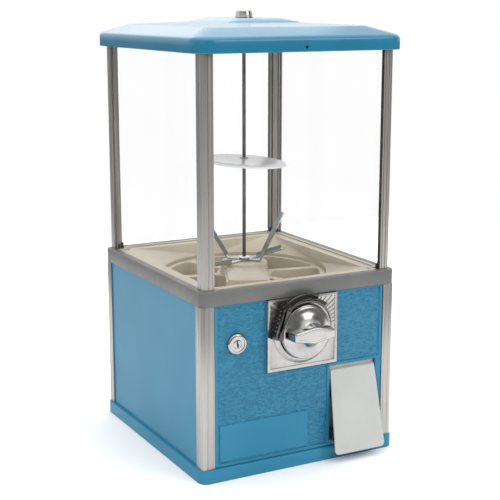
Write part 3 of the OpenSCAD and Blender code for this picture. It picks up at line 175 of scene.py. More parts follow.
def moulded_plastic(name, low, high, rough=0.35, grain_mm=1.2, depth=0.02):
    """Injection-moulded plastic: faint flow clouds, and a fine uneven skin unless depth is 0."""
    mat, tree, shader, coords = begin(name)
    link(tree, shade(tree, blotches(tree, coords, 45), low, high), shader, "Base Color")
    shader.inputs["Roughness"].default_value = rough
    shader.inputs["IOR"].default_value = 1.5
    if depth:
        link(tree, between(tree, blotches(tree, coords, 14), rough - 0.05, rough + 0.07), shader, "Roughness")
        bump(tree, shader, blotches(tree, coords, grain_mm, 2.0), depth, 0.5)
    return mat


def glossy_plastic(name, low, high):
    """Polished moulding: dull body colour under a hard clear skin that mirrors the sky at low angles."""
    mat, tree, shader, coords = begin(name)
    link(tree, shade(tree, blotches(tree, coords, 60, 1.0), low, high), shader, "Base Color")
    shader.inputs["Roughness"].default_value = 0.22
    shader.inputs["IOR"].default_value = 1.5
    shader.inputs["Specular IOR Level"].default_value = 0.35
    shader.inputs["Coat Weight"].default_value = 0.6
    shader.inputs["Coat Roughness"].default_value = 0.18
    return mat


def zinc_spangle(name, low, high):
    """Hot-dip galvanised sheet: angular crystals about 12 mm across, dull grey."""
    mat, tree, shader, coords = begin(name)
    place = add(tree, "ShaderNodeMapping", {"Vector": coords, "Scale": (80, 80, 80)})
    cells = add(tree, "ShaderNodeTexVoronoi", {"Vector": place.outputs["Vector"], "Scale": 1.0})
    tone = add(tree, "ShaderNodeSeparateColor", {"Color": cells.outputs["Color"]}).outputs["Red"]
    link(tree, shade(tree, tone, low, high, 0.0, 1.0), shader, "Base Color")
    shader.inputs["Metallic"].default_value = 0.8
    link(tree, between(tree, tone, 0.34, 0.5, 0.0, 1.0), shader, "Roughness")
    bump(tree, shader, blotches(tree, coords, 1.5), 0.02, 0.4)
    return mat


def plated_metal(name, low, high, rough, grain_mm=5.0, depth=0.01):
    """Plated metal: hard mirror-like skin, slightly cloudy and uneven."""
    mat, tree, shader, coords = begin(name)
    cloud = blotches(tree, coords, grain_mm, 3.0)
    link(tree, shade(tree, cloud, low, high), shader, "Base Color")
    shader.inputs["Metallic"].default_value = 1.0
    link(tree, between(tree, cloud, rough, rough + 0.08), shader, "Roughness")
    bump(tree, shader, blotches(tree, coords, grain_mm * 0.4, 1.0), depth, 0.4)
    return mat


def clear_sheet(name):
    """Clear acrylic sheet: no tint to speak of and only a weak reflection."""
    mat, tree, shader, coords = begin(name)
    shader.inputs["Base Color"].default_value = linear("#FFFFFF")
    shader.inputs["Transmission Weight"].default_value = 1.0
    shader.inputs["IOR"].default_value = 1.49
    shader.inputs["Roughness"].default_value = 0.0
    glass = shader.outputs["BSDF"]
    through = add(tree, "ShaderNodeBsdfTransparent", {"Color": linear("#FFFFFF")})
    clear = between(tree, blotches(tree, coords, 60, 1.0), 0.975, 0.985)
    mix = add(tree, "ShaderNodeMixShader", {0: clear, 1: glass, 2: through.outputs["BSDF"]})
    output = [n for n in tree.nodes if n.bl_idname == "ShaderNodeOutputMaterial"][0]
    tree.links.new(mix.outputs["Shader"], output.inputs["Surface"])
    return mat


def make_finishes():
    """Every finish of the machine, named for what it is."""
    FINISHED.update({
        "blue_painted_steel": gloss_enamel("blue_stoved_enamel", "#2E7D9E", "#3382A3", 0.3, 0.22),
        "blue_grained_door": grained_enamel("blue_hammered_enamel", "#236E8C", "#317FA0"),
        "blue_moulded_plastic": glossy_plastic("blue_abs_lid", "#1D7496", "#217A9C"),
        "bare_aluminium": brushed_aluminium("mill_aluminium", "#ABA8A4", "#C4C1BD"),
        "belt_grey": moulded_plastic("grey_abs_belt", "#6A6969", "#70706F", 0.42, 0.8, 0.02),
        "cream_plastic": moulded_plastic("cream_styrene", "#B8AE9B", "#C2B7A4", 0.38, 1.5, 0.01),
        "black_plastic": moulded_plastic("black_nylon_and_painted_shade", "#232324", "#2E2E30", 0.45, 1.0, 0.03),
        "clear_acrylic": clear_sheet("clear_acrylic_sheet"),
        "galvanised_steel": zinc_spangle("galvanised_sheet", "#8E9494", "#A9AFAF"),
        "plated_steel": plated_metal("zinc_plated_steel", "#A6ABAD", "#BBC0C2", 0.28, 6.0, 0.01),
        "steel_rod": plated_metal("drawn_steel_rod", "#5E5F5F", "#727372", 0.36, 8.0, 0.01),
        "chrome": plated_metal("polished_chrome", "#B4B3B1", "#BFBEBC", 0.15, 12.0, 0.002),
        "cast_chrome": plated_metal("cast_chrome", "#B6B4B1", "#C1BFBC", 0.3, 6.0, 0.01),
        "dark_chrome": plated_metal("black_chrome", "#565452", "#646261", 0.13, 9.0, 0.003),
        "flap_steel": moulded_plastic("pale_flap_enamel", "#BABBB8", "#C0C1BE", 0.4, 3.0, 0.0),
        "disc_plastic": moulded_plastic("white_styrene", "#F0F0F2", "#F6F6F7", 0.25, 2.0, 0.0),
    })


# ---------------------------------------------------------------- mesh helpers (millimetres)

def rounded_loop(w, d, r, z, n=8):
    """Corner-rounded rectangle as points, anticlockwise, starting at the +x side."""
    r = max(r, 0.01)
    points = []
    for cx, cy, a0 in ((1, 1, 0), (-1, 1, 90), (-1, -1, 180), (1, -1, 270)):
        for i in range(n + 1):
            a = math.radians(a0 + 90 * i / n)
            points.append(Vector((cx * (w / 2 - r) + r * math.cos(a), cy * (d / 2 - r) + r * math.sin(a), z)))
    return points


def ring(bm, points):
    """A closed row of edges through the points."""
    verts = [bm.verts.new(p) for p in points]
    return [bm.edges.new(pair) for pair in zip(verts, verts[1:] + verts[:1])]


def loft(bm, loops, close=False, caps=False):
    """Bridges rows of points; close joins the last row to the first, caps fills both ends."""
    rows = [ring(bm, points) for points in loops]
    pairs = list(zip(rows, rows[1:])) + ([(rows[-1], rows[0])] if close else [])
    for low, high in pairs:
        bmesh.ops.bridge_loops(bm, edges=low + high)
    if caps:
        for row in (rows[0], rows[-1]):
            bmesh.ops.contextual_create(bm, geom=row)
    return rows


def soften(bm, width, angle=30.0, segments=2):
    """Bevels the edges that are sharper than angle."""
    if width <= 0:
        return
    limit = math.radians(angle)
    edges = [e for e in bm.edges if len(e.link_faces) == 2 and e.calc_face_angle(0) > limit]
    if edges:
        bmesh.ops.bevel(bm, geom=edges, offset=width, offset_type="OFFSET", segments=segments,
                        profile=0.5, affect="EDGES", clamp_overlap=True, material=-1)


def publish(bm, name, slot, body, replaced=(), smooth=35.0, finish=None):
    """Turns millimetre mesh data into a finished piece riding on its body."""
    bmesh.ops.remove_doubles(bm, verts=bm.verts[:], dist=0.002)
    bmesh.ops.recalc_face_normals(bm, faces=bm.faces[:])
    bmesh.ops.scale(bm, vec=(MM, MM, MM), verts=bm.verts[:])
    mesh = bpy.data.meshes.new(name)
    bm.to_mesh(mesh)
    bm.free()
    for poly in mesh.polygons:
        poly.use_smooth = True
    mesh.set_sharp_from_angle(angle=math.radians(smooth))
    obj = bpy.data.objects.new(name, mesh)
    bpy.context.scene.collection.objects.link(obj)
    mesh.materials.append(FINISHED[finish or slot])
    if replaced:
        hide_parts(*replaced)
    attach(obj, body)
    return obj


def block(bm, x0, x1, y0, y1, z0, z1):
    """Adds an axis-aligned box."""
    made = bmesh.ops.create_cube(bm, size=1.0)["verts"]
    bmesh.ops.scale(bm, vec=(x1 - x0, y1 - y0, z1 - z0), verts=made)
    bmesh.ops.translate(bm, vec=((x0 + x1) / 2, (y0 + y1) / 2, (z0 + z1) / 2), verts=made)
    return made


def turned(bm, profile, steps=64, centre=(0, 0, 0), axis=(0, 0, 1)):
    """Spins a profile of (radius, height) round an axis; closed profile gives a ring."""
    verts = [bm.verts.new((r, 0, h)) for r, h in profile]
    edges = [bm.edges.new((a, b)) for a, b in zip(verts, verts[1:])]
    if profile[0][0] > 0.001 and profile[-1][0] > 0.001:
        edges.append(bm.edges.new((verts[-1], verts[0])))
    bmesh.ops.spin(bm, geom=verts + edges, cent=(0, 0, 0), axis=(0, 0, 1),
                          angle=math.tau, steps=steps, use_merge=True, use_duplicate=False)
    new = list({v for f in bm.faces for v in f.verts if v.tag is False})
    matrix = Vector((0, 0, 1)).rotation_difference(Vector(axis)).to_matrix().to_4x4()
    bmesh.ops.transform(bm, matrix=Matrix.Translation(centre) @ matrix, verts=new)
    for v in bm.verts:
        v.tag = True
    return new


def scored(bm, xs, zs):
    """Cuts the faces of bm along upright planes at xs and level planes at zs."""
    for axis, values in ((0, xs), (2, zs)):
        normal = [0, 0, 0]
        normal[axis] = 1
        for value in values:
            bmesh.ops.bisect_plane(bm, geom=bm.verts[:] + bm.edges[:] + bm.faces[:], dist=1e-5,
                                   plane_co=[value * n for n in normal], plane_no=normal)


def faces_at(bm, y, inside):
    """The faces that lie in the upright plane at depth y and whose middle is inside."""
    found = []
    for face in bm.faces:
        mid = face.calc_center_median()
        if abs(mid.y - y) < 0.01 and abs(face.normal.y) > 0.99 and inside(mid.x, mid.z):
            found.append(face)
    return found


def sink(bm, y, inside, depth):
    """Pushes the faces at depth y that are inside back by depth, with walls round them."""
    faces = faces_at(bm, y, inside)
    if not faces:
        raise ValueError("nothing to sink at this depth")
    made = bmesh.ops.extrude_face_region(bm, geom=faces)["geom"]
    bmesh.ops.translate(bm, vec=(0, depth, 0), verts=[g for g in made if isinstance(g, bmesh.types.BMVert)])
    bmesh.ops.delete(bm, geom=[f for f in faces if f.is_valid], context="FACES_ONLY")
    bm.normal_update()


def pierce(bm, y0, y1, inside):
    """Opens a hole with walls between the faces at depths y0 and y1."""
    sink(bm, y0, inside, y1 - y0)
    bmesh.ops.delete(bm, geom=faces_at(bm, y1, inside), context="FACES_ONLY")
    bmesh.ops.remove_doubles(bm, verts=bm.verts[:], dist=0.001)
    bm.normal_update()


def copied(node):
    """A merged copy of a CAD node's mesh, in millimetres, without the seams of flat faces."""
    bm = bmesh.new()
    bm.from_mesh(frame["nodes"][node].data)
    bmesh.ops.scale(bm, vec=(1 / MM, 1 / MM, 1 / MM), verts=bm.verts[:])
    bmesh.ops.remove_doubles(bm, verts=bm.verts[:], dist=0.004)
    bmesh.ops.dissolve_degenerate(bm, edges=bm.edges[:], dist=0.004)
    bmesh.ops.dissolve_limit(bm, angle_limit=math.radians(1.0), verts=bm.verts[:], edges=bm.edges[:],
                             delimit={"NORMAL"})
    return bm


def dressed(node, slot, body, width, name=None, angle=30.0, segments=2, finish=None):
    """A copy of a CAD node with its sharp edges rounded by width."""
    bm = copied(node)
    soften(bm, width, angle, segments)
    return publish(bm, name or "soft_" + node, slot, body, (node,), finish=finish)


# ---------------------------------------------------------------- settings

class GumballSizes(bpy.types.PropertyGroup):
    """Sizes that the finished pieces add to the frame's own."""
    edge: FloatProperty(name="Small edge", description="Radius of the small pressed and moulded edges",
                        default=0.0006, unit="LENGTH")
    lid_edge: FloatProperty(name="Lid edge", description="Radius of the lid's lower and upper lip edges",
                            default=0.0016, unit="LENGTH")
    disc_rim: FloatProperty(name="Disc rim", description="Height of the disc's turned-down rim",
                            default=0.002, unit="LENGTH")
    knurls: IntProperty(name="Lock knurls", description="Number of knurls on the door lock's collar",
                        default=48, min=12, max=96)


class GumballLook(bpy.types.PropertyGroup):
    """Colours of the studio."""
    floor: FloatVectorProperty(name="Floor", description="Colour of the floor and backdrop", subtype="COLOR",
                               size=3, default=(1.0, 1.0, 1.0), min=0, max=1)


# ---------------------------------------------------------------- operators

class GUMBALL_OT_finishes(bpy.types.Operator):
    """Make the finishes and give them to the frame's own pieces"""
    bl_idname = "gumball.finishes"
    bl_label = "Finishes"

    def execute(self, context):
        make_finishes()
        for entry in frame["record"]["subparts"]:
            mesh = frame["nodes"][entry["node"]].data
            mesh.materials.clear()
            mesh.materials.append(FINISHED[entry["material_slot"]])
        return {"FINISHED"}


class GUMBALL_OT_lid(bpy.types.Operator):
    """Moulded lid: straight lip, sloped band, shallow field and a small raised middle"""
    bl_idname = "gumball.lid"
    bl_label = "Lid"

    def execute(self, context):
        lo, hi = span("lid")
        w, d = hi.x - lo.x, hi.y - lo.y
        lock_rise, hole_up, hole_corner = 10.0, 6.0, 1.9
        top = span("lid_lock_barrel")[1].z - lock_rise
        bottom, wall = lo.z, 3.0
        e = context.scene.gumball_sizes.lid_edge / MM
        r = 26.0
        lip = bottom + 16.0
        rows = [(0, bottom + e, r), (0.15, bottom + 0.45 * e, r), (e * 0.5, bottom, r - 0.5),
                (wall - 0.6, bottom, r - wall), (wall, bottom + 0.8, r - wall),
                (wall, lip - 1, r - wall), (7, lip + 0.6, r - 6), (38, top - 12.6, 16),
                (103, top - 8.6, 14), (121, top - 3.4, 12)]
        outer = [(0, bottom + e, r), (0, lip - 1.2, r), (0.3, lip + 0.2, r), (1.2, lip + 1.6, r - 1),
                 (2.6, lip + 2.9, r - 2), (4.2, lip + 3.8, r - 3.5), (6.5, lip + 4.8, r - 5),
                 (34, top - 9.9, 19), (34.8, top - 9.62, 18.5), (35.6, top - 9.5, 18),
                 (37.5, top - 9.35, 17.5),
                 (98.6, top - 5.75, 14), (100, top - 5.6, 14), (101, top - 5.2, 13.5),
                 (102.2, top - 4.4, 13), (116, top - 0.9, 12), (117.6, top - 0.3, 12), (120, top, 11)]
        bm = bmesh.new()
        loops = [rounded_loop(w - 2 * i, d - 2 * i, q, z, 10) for i, z, q in reversed(rows[1:])]
        loops += [rounded_loop(w - 2 * i, d - 2 * i, q, z, 10) for i, z, q in outer]
        loft(bm, loops, caps=True)
        hole_z, hole_r = bottom + hole_up, 2.0
        scored(bm, (-hole_r, hole_r), (hole_z - hole_r, hole_z + hole_r))
        pierce(bm, lo.y, lo.y + wall, lambda x, z: abs(x) < hole_r and abs(z - hole_z) < hole_r)

        def at_corner(v):
            return (abs(abs(v.co.x) - hole_r) < 0.01 and abs(abs(v.co.z - hole_z) - hole_r) < 0.01
                    and v.co.y < lo.y + wall + 0.1)

        corners = [e for e in bm.edges if all(at_corner(v) for v in e.verts)
                   and abs(e.verts[0].co.y - e.verts[1].co.y) > 1]
        bmesh.ops.bevel(bm, geom=corners, offset=hole_corner, offset_type="OFFSET", segments=4,
                        profile=0.5, affect="EDGES", clamp_overlap=True, material=-1)
        publish(bm, "moulded_lid", "blue_moulded_plastic", "lid", ("lid",), 28)
        return {"FINISHED"}


class GUMBALL_OT_belt(bpy.types.Operator):
    """Grey belt frame with a lightly rounded top edge"""
    bl_idname = "gumball.belt"
    bl_label = "Belt"

    def execute(self, context):
        lo, hi = span("belt_frame")
        w, d = hi.x - lo.x, hi.y - lo.y
        z0, z1 = lo.z, hi.z
        seat = span("hopper_tray")[1].z - 4.5
        rows = [(18, z0, 3), (1, z0, 10), (0.3, z0 + 0.3, 10.7), (0, z0 + 1, 11), (0, z1 - 2.2, 11),
                (0.35, z1 - 1.0, 10.7), (1.1, z1 - 0.3, 10.2), (2.2, z1, 9.6), (10.2, z1, 22),
                (10.7, z1 - 0.4, 22),
                (10.7, seat, 22), (18, seat, 18)]
        bm = bmesh.new()
        loft(bm, [rounded_loop(w - 2 * i, d - 2 * i, q, z, 10) for i, z, q in rows], close=True)
        publish(bm, "grey_belt", "belt_grey", "cabinet", ("belt_frame",))
        return {"FINISHED"}


class GUMBALL_OT_base(bpy.types.Operator):
    """Pressed base tray with rounded corners and a turned rim"""
    bl_idname = "gumball.base"
    bl_label = "Base tray"

    def execute(self, context):
        lo, hi = span("base_tray")
        w, d = hi.x - lo.x, hi.y - lo.y
        z1 = hi.z
        rows = [(0.4, 0, 11.6), (0, 0.5, 12), (0, z1 - 1.6, 12), (0.3, z1 - 0.7, 11.7),
                (0.9, z1 - 0.15, 11.2),
                (1.6, z1, 10.6), (7.5, z1, 6), (8, z1 - 0.5, 6), (8, 3, 6)]
        bm = bmesh.new()
        loft(bm, [rounded_loop(w - 2 * i, d - 2 * i, q, z, 8) for i, z, q in rows], caps=True)
        publish(bm, "base_pressing", "blue_painted_steel", "cabinet", ("base_tray",))
        return {"FINISHED"}


class GUMBALL_OT_door(bpy.types.Operator):
    """Front door: smooth border and plaque, hammered field, flap opening"""
    bl_idname = "gumball.door"
    bl_label = "Front door"

    def execute(self, context):
        sheet, folded, dip = 3, 7, 1.0
        rim, end_rim = 3, 7
        border, top_border = 4, 2
        hatch_height, cutout_half, cutout_drop = 110, 42.3, 46.55
        plaque_margin, plaque_width, plaque_height = 7, 134, 50
        corner_radius, edge_radius, long_edge = 3.4, 0.45, 50
        lo, hi = span("front_door")
        face, inner, rear = lo.y, lo.y + sheet, lo.y + folded
        sunk = face + dip
        x0, x1, z0, z1 = lo.x, hi.x, lo.z, hi.z
        plate_lo, plate_hi = span("coin_faceplate")
        tray_lo, tray_hi = span("catch_tray")
        hatch = (tray_lo.x + 2, tray_hi.x - 2, tray_lo.z, tray_lo.z + hatch_height)
        fx, fz0, fz1 = x1 - border, z0 + border, z1 - top_border
        split_x, split_z = hatch[0] - border, hatch[3] + 3
        px0, pz0 = x0 + plaque_margin, z0 + plaque_margin
        px1, pz1 = px0 + plaque_width, pz0 + plaque_height
        box = cutout_half
        mid = plate_hi.z - cutout_drop
        bm = bmesh.new()
        block(bm, x0, x1, face, rear, z0, z1)
        scored(bm, (x0 + rim, x0 + border, px0, px1, -box, box, plate_lo.x - 1, plate_hi.x + 1, split_x,
                    hatch[0], hatch[1], fx, x1 - end_rim),
               (z0 + rim, fz0, pz0, pz1, mid - box, mid + box, plate_lo.z - 1, split_z, hatch[2],
                hatch[3], fz1, z1 - rim))

        def in_mechanism(x, z):
            return abs(x) < box and abs(z - mid) < box

        def in_hatch(x, z):
            return hatch[0] < x < hatch[1] and hatch[2] < z < hatch[3]

        def in_field(x, z):
            wide = split_x if z < split_z else fx
            smooth_part = (px0 < x < px1 and pz0 < z < pz1) or (
                plate_lo.x - 1 < x < plate_hi.x + 1 and z > plate_lo.z - 1)
            return -fx < x < wide and fz0 < z < fz1 and not smooth_part

        sink(bm, rear, lambda x, z: x0 + rim < x < x1 - end_rim and z0 + rim < z < z1 - rim, inner - rear)
        pierce(bm, face, inner, in_hatch)
        pierce(bm, face, inner, in_mechanism)
        sink(bm, face, in_field, sunk - face)
        bmesh.ops.dissolve_limit(bm, angle_limit=0.01, verts=bm.verts[:], edges=bm.edges[:])
        # Known fault: where the dissolve leaves a piece shorter than long_edge, this corner stays sharp.
        upright = [e for e in bm.edges if all(abs(v.co.x - x1) < 0.01 for v in e.verts)
                   and abs(e.verts[0].co.z - e.verts[1].co.z) > long_edge]
        bmesh.ops.bevel(bm, geom=upright, offset=corner_radius, offset_type="OFFSET", segments=6,
                        profile=0.5, affect="EDGES", clamp_overlap=True, material=-1)
        soften(bm, edge_radius, 40, 2)
        door = publish(bm, "hammered_door", "blue_grained_door", "door", ("front_door",))
        door.data.materials.append(FINISHED["blue_painted_steel"])
        for poly in door.data.polygons:
            c = poly.center / MM
            on_field = abs(c.y - sunk) < 0.06 and abs(poly.normal.y) > 0.9
            poly.material_index = 0 if on_field else 1
        return {"FINISHED"}


class GUMBALL_OT_posts(bpy.types.Operator):
    """Corner extrusions; on the upper four, faces turned into the machine take the black material"""
    bl_idname = "gumball.posts"
    bl_label = "Corner posts"

    def execute(self, context):
        edge = context.scene.gumball_sizes.edge / MM
        dark_from, dark_to, facing = 3, 5.5, 0.9
        for end in ("front", "rear"):
            for side in ("left", "right"):
                node = "lower_post_%s_%s" % (end, side)
                dressed(node, "bare_aluminium", "cabinet", 0.4 * edge, angle=60)
                node = "upper_post_%s_%s" % (end, side)
                post = dressed(node, "bare_aluminium", "cabinet", 0.0, angle=60)
                post.data.materials.append(FINISHED["black_plastic"])
                lo, hi = span(node)
                inward_x = 1 if side == "left" else -1
                inward_y = 1 if end == "front" else -1
                # Faces turned inwards beyond 3 mm from the outer x face, and a band 3 to 5.5 mm from the
                # outer y face, take the black material and show dark.
                for poly in post.data.polygons:
                    n, c = poly.normal, poly.center / MM
                    deep_x = (c.x - lo.x) if side == "left" else (hi.x - c.x)
                    deep_y = (c.y - lo.y) if end == "front" else (hi.y - c.y)
                    dark_inner_face = (n.x * inward_x > facing and deep_x > dark_from) or (
                        n.y * inward_y > facing and dark_from < deep_y < dark_to)
                    poly.material_index = 1 if dark_inner_face else 0
        return {"FINISHED"}


class GUMBALL_OT_hopper(bpy.types.Operator):
    """Cream hopper, guard and wheel with its pockets, and the black post feet"""
    bl_idname = "gumball.hopper"
    bl_label = "Hopper and wheel"

    def execute(self, context):
        edge = context.scene.gumball_sizes.edge / MM
        dressed("hopper_tray", "cream_plastic", "cabinet", 0.8 * edge, "soft_hopper", angle=40)
        dressed("outlet_guard", "cream_plastic", "cabinet", 1.6 * edge, "soft_guard", segments=3)
        dressed("dispensing_wheel", "cream_plastic", "wheel", 1.2 * edge, "soft_wheel", angle=50, segments=3)
        dressed("post_feet", "black_plastic", "cabinet", 0.6 * edge, "soft_post_feet")
        return {"FINISHED"}


class GUMBALL_OT_agitator(bpy.types.Operator):
    """Plated stirring strips on the wheel's hub, with their folded edges"""
    bl_idname = "gumball.agitator"
    bl_label = "Agitator"

    def execute(self, context):
        edge = context.scene.gumball_sizes.edge / MM
        dressed("agitator", "plated_steel", "wheel", 0.35 * edge, "stirring_strips", angle=50)
        lo, hi = span("hub_washer")
        x, y, r = (lo.x + hi.x) / 2, (lo.y + hi.y) / 2, (hi.x - lo.x) / 2
        bm = bmesh.new()
        turned(bm, [(2.6, lo.z), (r - 0.3, lo.z), (r, lo.z + 0.3), (r, hi.z - 0.8), (r - 0.3, hi.z - 0.3),
                    (r - 0.9, hi.z), (3.4, hi.z), (2.6, hi.z - 0.5)], 48, (x, y, 0))
        publish(bm, "turned_washer", "disc_plastic", "wheel", ("hub_washer",))
        return {"FINISHED"}


class GUMBALL_OT_disc(bpy.types.Operator):
    """White deflector disc with a turned-down rim, tilted on the rod"""
    bl_idname = "gumball.disc"
    bl_label = "Deflector disc"

    def execute(self, context):
        drop = context.scene.gumball_sizes.disc_rim / MM
        lean, lean_degrees = Vector((0.474, 0.88, 0)).normalized(), 4.0
        tilt = Matrix.Rotation(math.radians(lean_degrees), 4, lean)
        r = 60.0
        upper = [(3.2, 4.6), (8, 4.55), (21, 4.25), (42, 3.4), (54, 2.5), (57.6, 2.05), (59.2, 1.5),
                 (59.9, 0.6),
                 (r, -0.2), (r, 0.4 - drop), (59.8, -drop), (59.0, -drop), (58.6, 0.3 - drop), (58.5, -0.2),
                 (57.8, 0.15), (54, 0.6), (42, 1.4), (21, 2.25), (8, 2.5), (3.2, 2.5)]
        bm = bmesh.new()
        turned(bm, upper, 96)
        centre = span("disc_clips")
        base = (centre[0].z + centre[1].z) / 2 - 3.5
        bmesh.ops.transform(bm, matrix=Matrix.Translation((0, 0, base)) @ tilt, verts=bm.verts[:])
        publish(bm, "turned_disc", "disc_plastic", "cabinet", ("deflector_disc",), 40)
        return {"FINISHED"}


class GUMBALL_OT_mechanism(bpy.types.Operator):
    """Coin mechanism: chromed faceplate, arch with the slot block, dial and handle"""
    bl_idname = "gumball.mechanism"
    bl_label = "Coin mechanism"

    def execute(self, context):
        edge = context.scene.gumball_sizes.edge / MM
        dressed("coin_faceplate", "chrome", "door", 0.7 * edge, "cast_faceplate", angle=25, segments=3,
                finish="cast_chrome")
        dressed("coin_arch", "dark_chrome", "door", 0.8 * edge, "cast_arch", angle=25)
        lo, hi = span("coin_dial")
        x, z, r = (lo.x + hi.x) / 2, (lo.z + hi.z) / 2, (hi.x - lo.x) / 2
        t = hi.y - lo.y
        bm = bmesh.new()
        turned(bm, [(5.1, 0), (r - 0.4, 0), (r, 0.4), (r, t - 2.0), (r - 0.2, t - 1.0), (r - 0.8, t - 0.3),
                    (r - 1.6, t), (5.1, t)], 96, (x, hi.y, z), (0, -1, 0))
        publish(bm, "turned_dial", "chrome", "knob", ("coin_dial",), 40)

        lo, hi = span("coin_handle")
        dome = (hi.x - lo.x) / 2
        depth = hi.y - lo.y
        rise = depth - 1.8
        bm = bmesh.new()
        turned(bm, [(0, 0), (dome - 0.3, 0), (dome, 0.25), (dome - 0.6, 0.6), (dome - 3, 1.0),
                    (dome - 6, 1.8), (dome - 9.5, 3.0), (dome - 13, 4.7), (dome - 16, 6.7),
                    (dome - 18.5, 9.2), (dome - 20.3, 12),
                    (dome - 21.6, 15), (dome - 23.2, 17.4), (dome - 26, depth - 4.1), (0, depth - 4.1)],
               96, (x, hi.y, z), (0, -1, 0))
        rows = []
        for depth_at, length, mid, end in ((0.3, dome - 0.2, 10.4, 4.6), (rise * 0.5, dome - 2.6, 10.9, 5.3),
                                           (rise - 0.6, 30.1, 11.4, 6.0), (rise + 0.2, 29.9, 11.2, 5.9),
                                           (depth - 0.5, 29.0, 10.3, 5.0), (depth, 28.3, 9.6, 4.4)):
            outline = [(-length, -end), (0, -mid), (length, -end), (length, end), (0, mid), (-length, end)]
            rows.append([Vector((x + a, hi.y - depth_at, z + b)) for a, b in outline])
        grip = bmesh.new()
        loft(grip, rows, caps=True)
        bmesh.ops.recalc_face_normals(grip, faces=grip.faces[:])
        soften(grip, 0.7, 24, 3)
        nose = [f for f in grip.faces if f.normal.y < -0.99 and f.calc_area() > 300]
        bmesh.ops.inset_region(grip, faces=nose, thickness=1.3, depth=0.0, use_even_offset=True)
        bmesh.ops.inset_region(grip, faces=nose, thickness=0.5, depth=-0.55, use_even_offset=True)
        part = bpy.data.meshes.new("grip")
        grip.to_mesh(part)
        grip.free()
        bm.from_mesh(part)
        bpy.data.meshes.remove(part)
        publish(bm, "cast_handle", "chrome", "knob", ("coin_handle",), 30)
        return {"FINISHED"}


class GUMBALL_OT_locks(bpy.types.Operator):
    """Door lock with its knurled collar, a black plate on the plug as painted shade of the keyway, and the
    round lock on the lid
    """
    bl_idname = "gumball.locks"
    bl_label = "Locks"

    def execute(self, context):
        sizes = context.scene.gumball_sizes
        lo, hi = span("door_lock_barrel")
        x, z, r = (lo.x + hi.x) / 2, (lo.z + hi.z) / 2, (hi.x - lo.x) / 2
        front = lo.y
        seat = front + 5.0
        bm = bmesh.new()
        turned(bm, [(6.1, hi.y - seat), (9.2, hi.y - seat), (9.5, hi.y - seat - 0.4), (9.5, 0), (r, 0),
                    (r, -2.9), (r - 0.5, -3.9), (r - 1.4, -4.7), (r - 2.2, -5.0), (10.6, -5.0), (10.3, -4.6),
                    (10.3, -3.8), (6.4, -3.8), (6.1, -3.5)], 96, (x, seat, z), (0, 1, 0))
        publish(bm, "turned_lock_collar", "chrome", "door", ("door_lock_barrel",), 40)

        bm = bmesh.new()
        for i in range(sizes.knurls):
            a = math.tau * i / sizes.knurls
            made = block(bm, r - 0.5, r - 0.05, -3.0, -0.4, -0.45, 0.45)
            bmesh.ops.rotate(bm, cent=(0, 0, 0), matrix=Matrix.Rotation(a, 3, "Y"), verts=made)
            bmesh.ops.translate(bm, vec=(x, seat, z), verts=made)
        publish(bm, "lock_knurls", "plated_steel", "door", (), 30)

        bm = copied("door_lock_plug")
        soften(bm, 0.25, 40, 2)
        publish(bm, "turned_lock_plug", "chrome", "door_key", ("door_lock_plug",), 35)
        lo, hi = span("door_lock_plug")
        x, z = (lo.x + hi.x) / 2, (lo.z + hi.z) / 2
        # A thin black plate in the keyway's shape, just proud of the plug's face: painted shade where the
        # keyway's hollow would be dark.
        bm = bmesh.new()
        outline = ((-1.5, 4.7), (0.9, 4.7), (0.9, 0.8), (1.9, 0.8), (1.9, -4.7), (-0.5, -4.7), (-0.5, -0.8),
                   (-1.5, -0.8))
        shade_plate = bm.faces.new([bm.verts.new((x + a, lo.y + 0.6, z + b)) for a, b in outline])
        made = bmesh.ops.extrude_face_region(bm, geom=[shade_plate])["geom"]
        front = [g for g in made if isinstance(g, bmesh.types.BMVert)]
        bmesh.ops.translate(bm, vec=(0, -0.66, 0), verts=front)
        publish(bm, "keyway_painted_shade", "black_plastic", "door_key")

        lo, hi = span("lid_lock_barrel")
        x, y, r = (lo.x + hi.x) / 2, (lo.y + hi.y) / 2, (hi.x - lo.x) / 2
        top = hi.z
        foot = top - 10.0
        bm = bmesh.new()
        turned(bm, [(2.7, lo.z), (6.6, lo.z), (7, lo.z + 0.4), (7, foot), (r - 0.4, foot), (r, foot + 0.3),
                    (r, foot + 1.2), (r - 0.2, foot + 1.7), (r - 0.6, foot + 2.2), (10.95, top - 1.9),
                    (10.7, top - 0.9), (10.2, top - 0.3), (9.4, top), (6.5, top), (6.1, top - 0.4),
                    (6.1, foot + 6.2), (2.7, foot + 6.2)], 96, (x, y, 0))
        publish(bm, "turned_lid_lock", "chrome", "lid", ("lid_lock_barrel",), 40)
        return {"FINISHED"}


class GUMBALL_OT_flap(bpy.types.Operator):
    """Dispensing flap with its rolled knuckle, bent top and rounded foot"""
    bl_idname = "gumball.flap"
    bl_label = "Dispensing flap"

    def execute(self, context):
        edge = context.scene.gumball_sizes.edge / MM
        dressed("dispensing_flap", "flap_steel", "flap", 1.0 * edge, "pressed_flap", angle=35, segments=3)
        return {"FINISHED"}


class GUMBALL_OT_inside(bpy.types.Operator):
    """Folded trays, chute and housing inside the cabinet"""
    bl_idname = "gumball.inside"
    bl_label = "Inside"

    def execute(self, context):
        edge = context.scene.gumball_sizes.edge / MM
        for node, body in (("cash_box", "cabinet"), ("outlet_chute", "cabinet"), ("catch_tray", "door"),
                           ("coin_housing", "door")):
            dressed(node, "galvanised_steel", body, 0.6 * edge, angle=40)
        return {"FINISHED"}


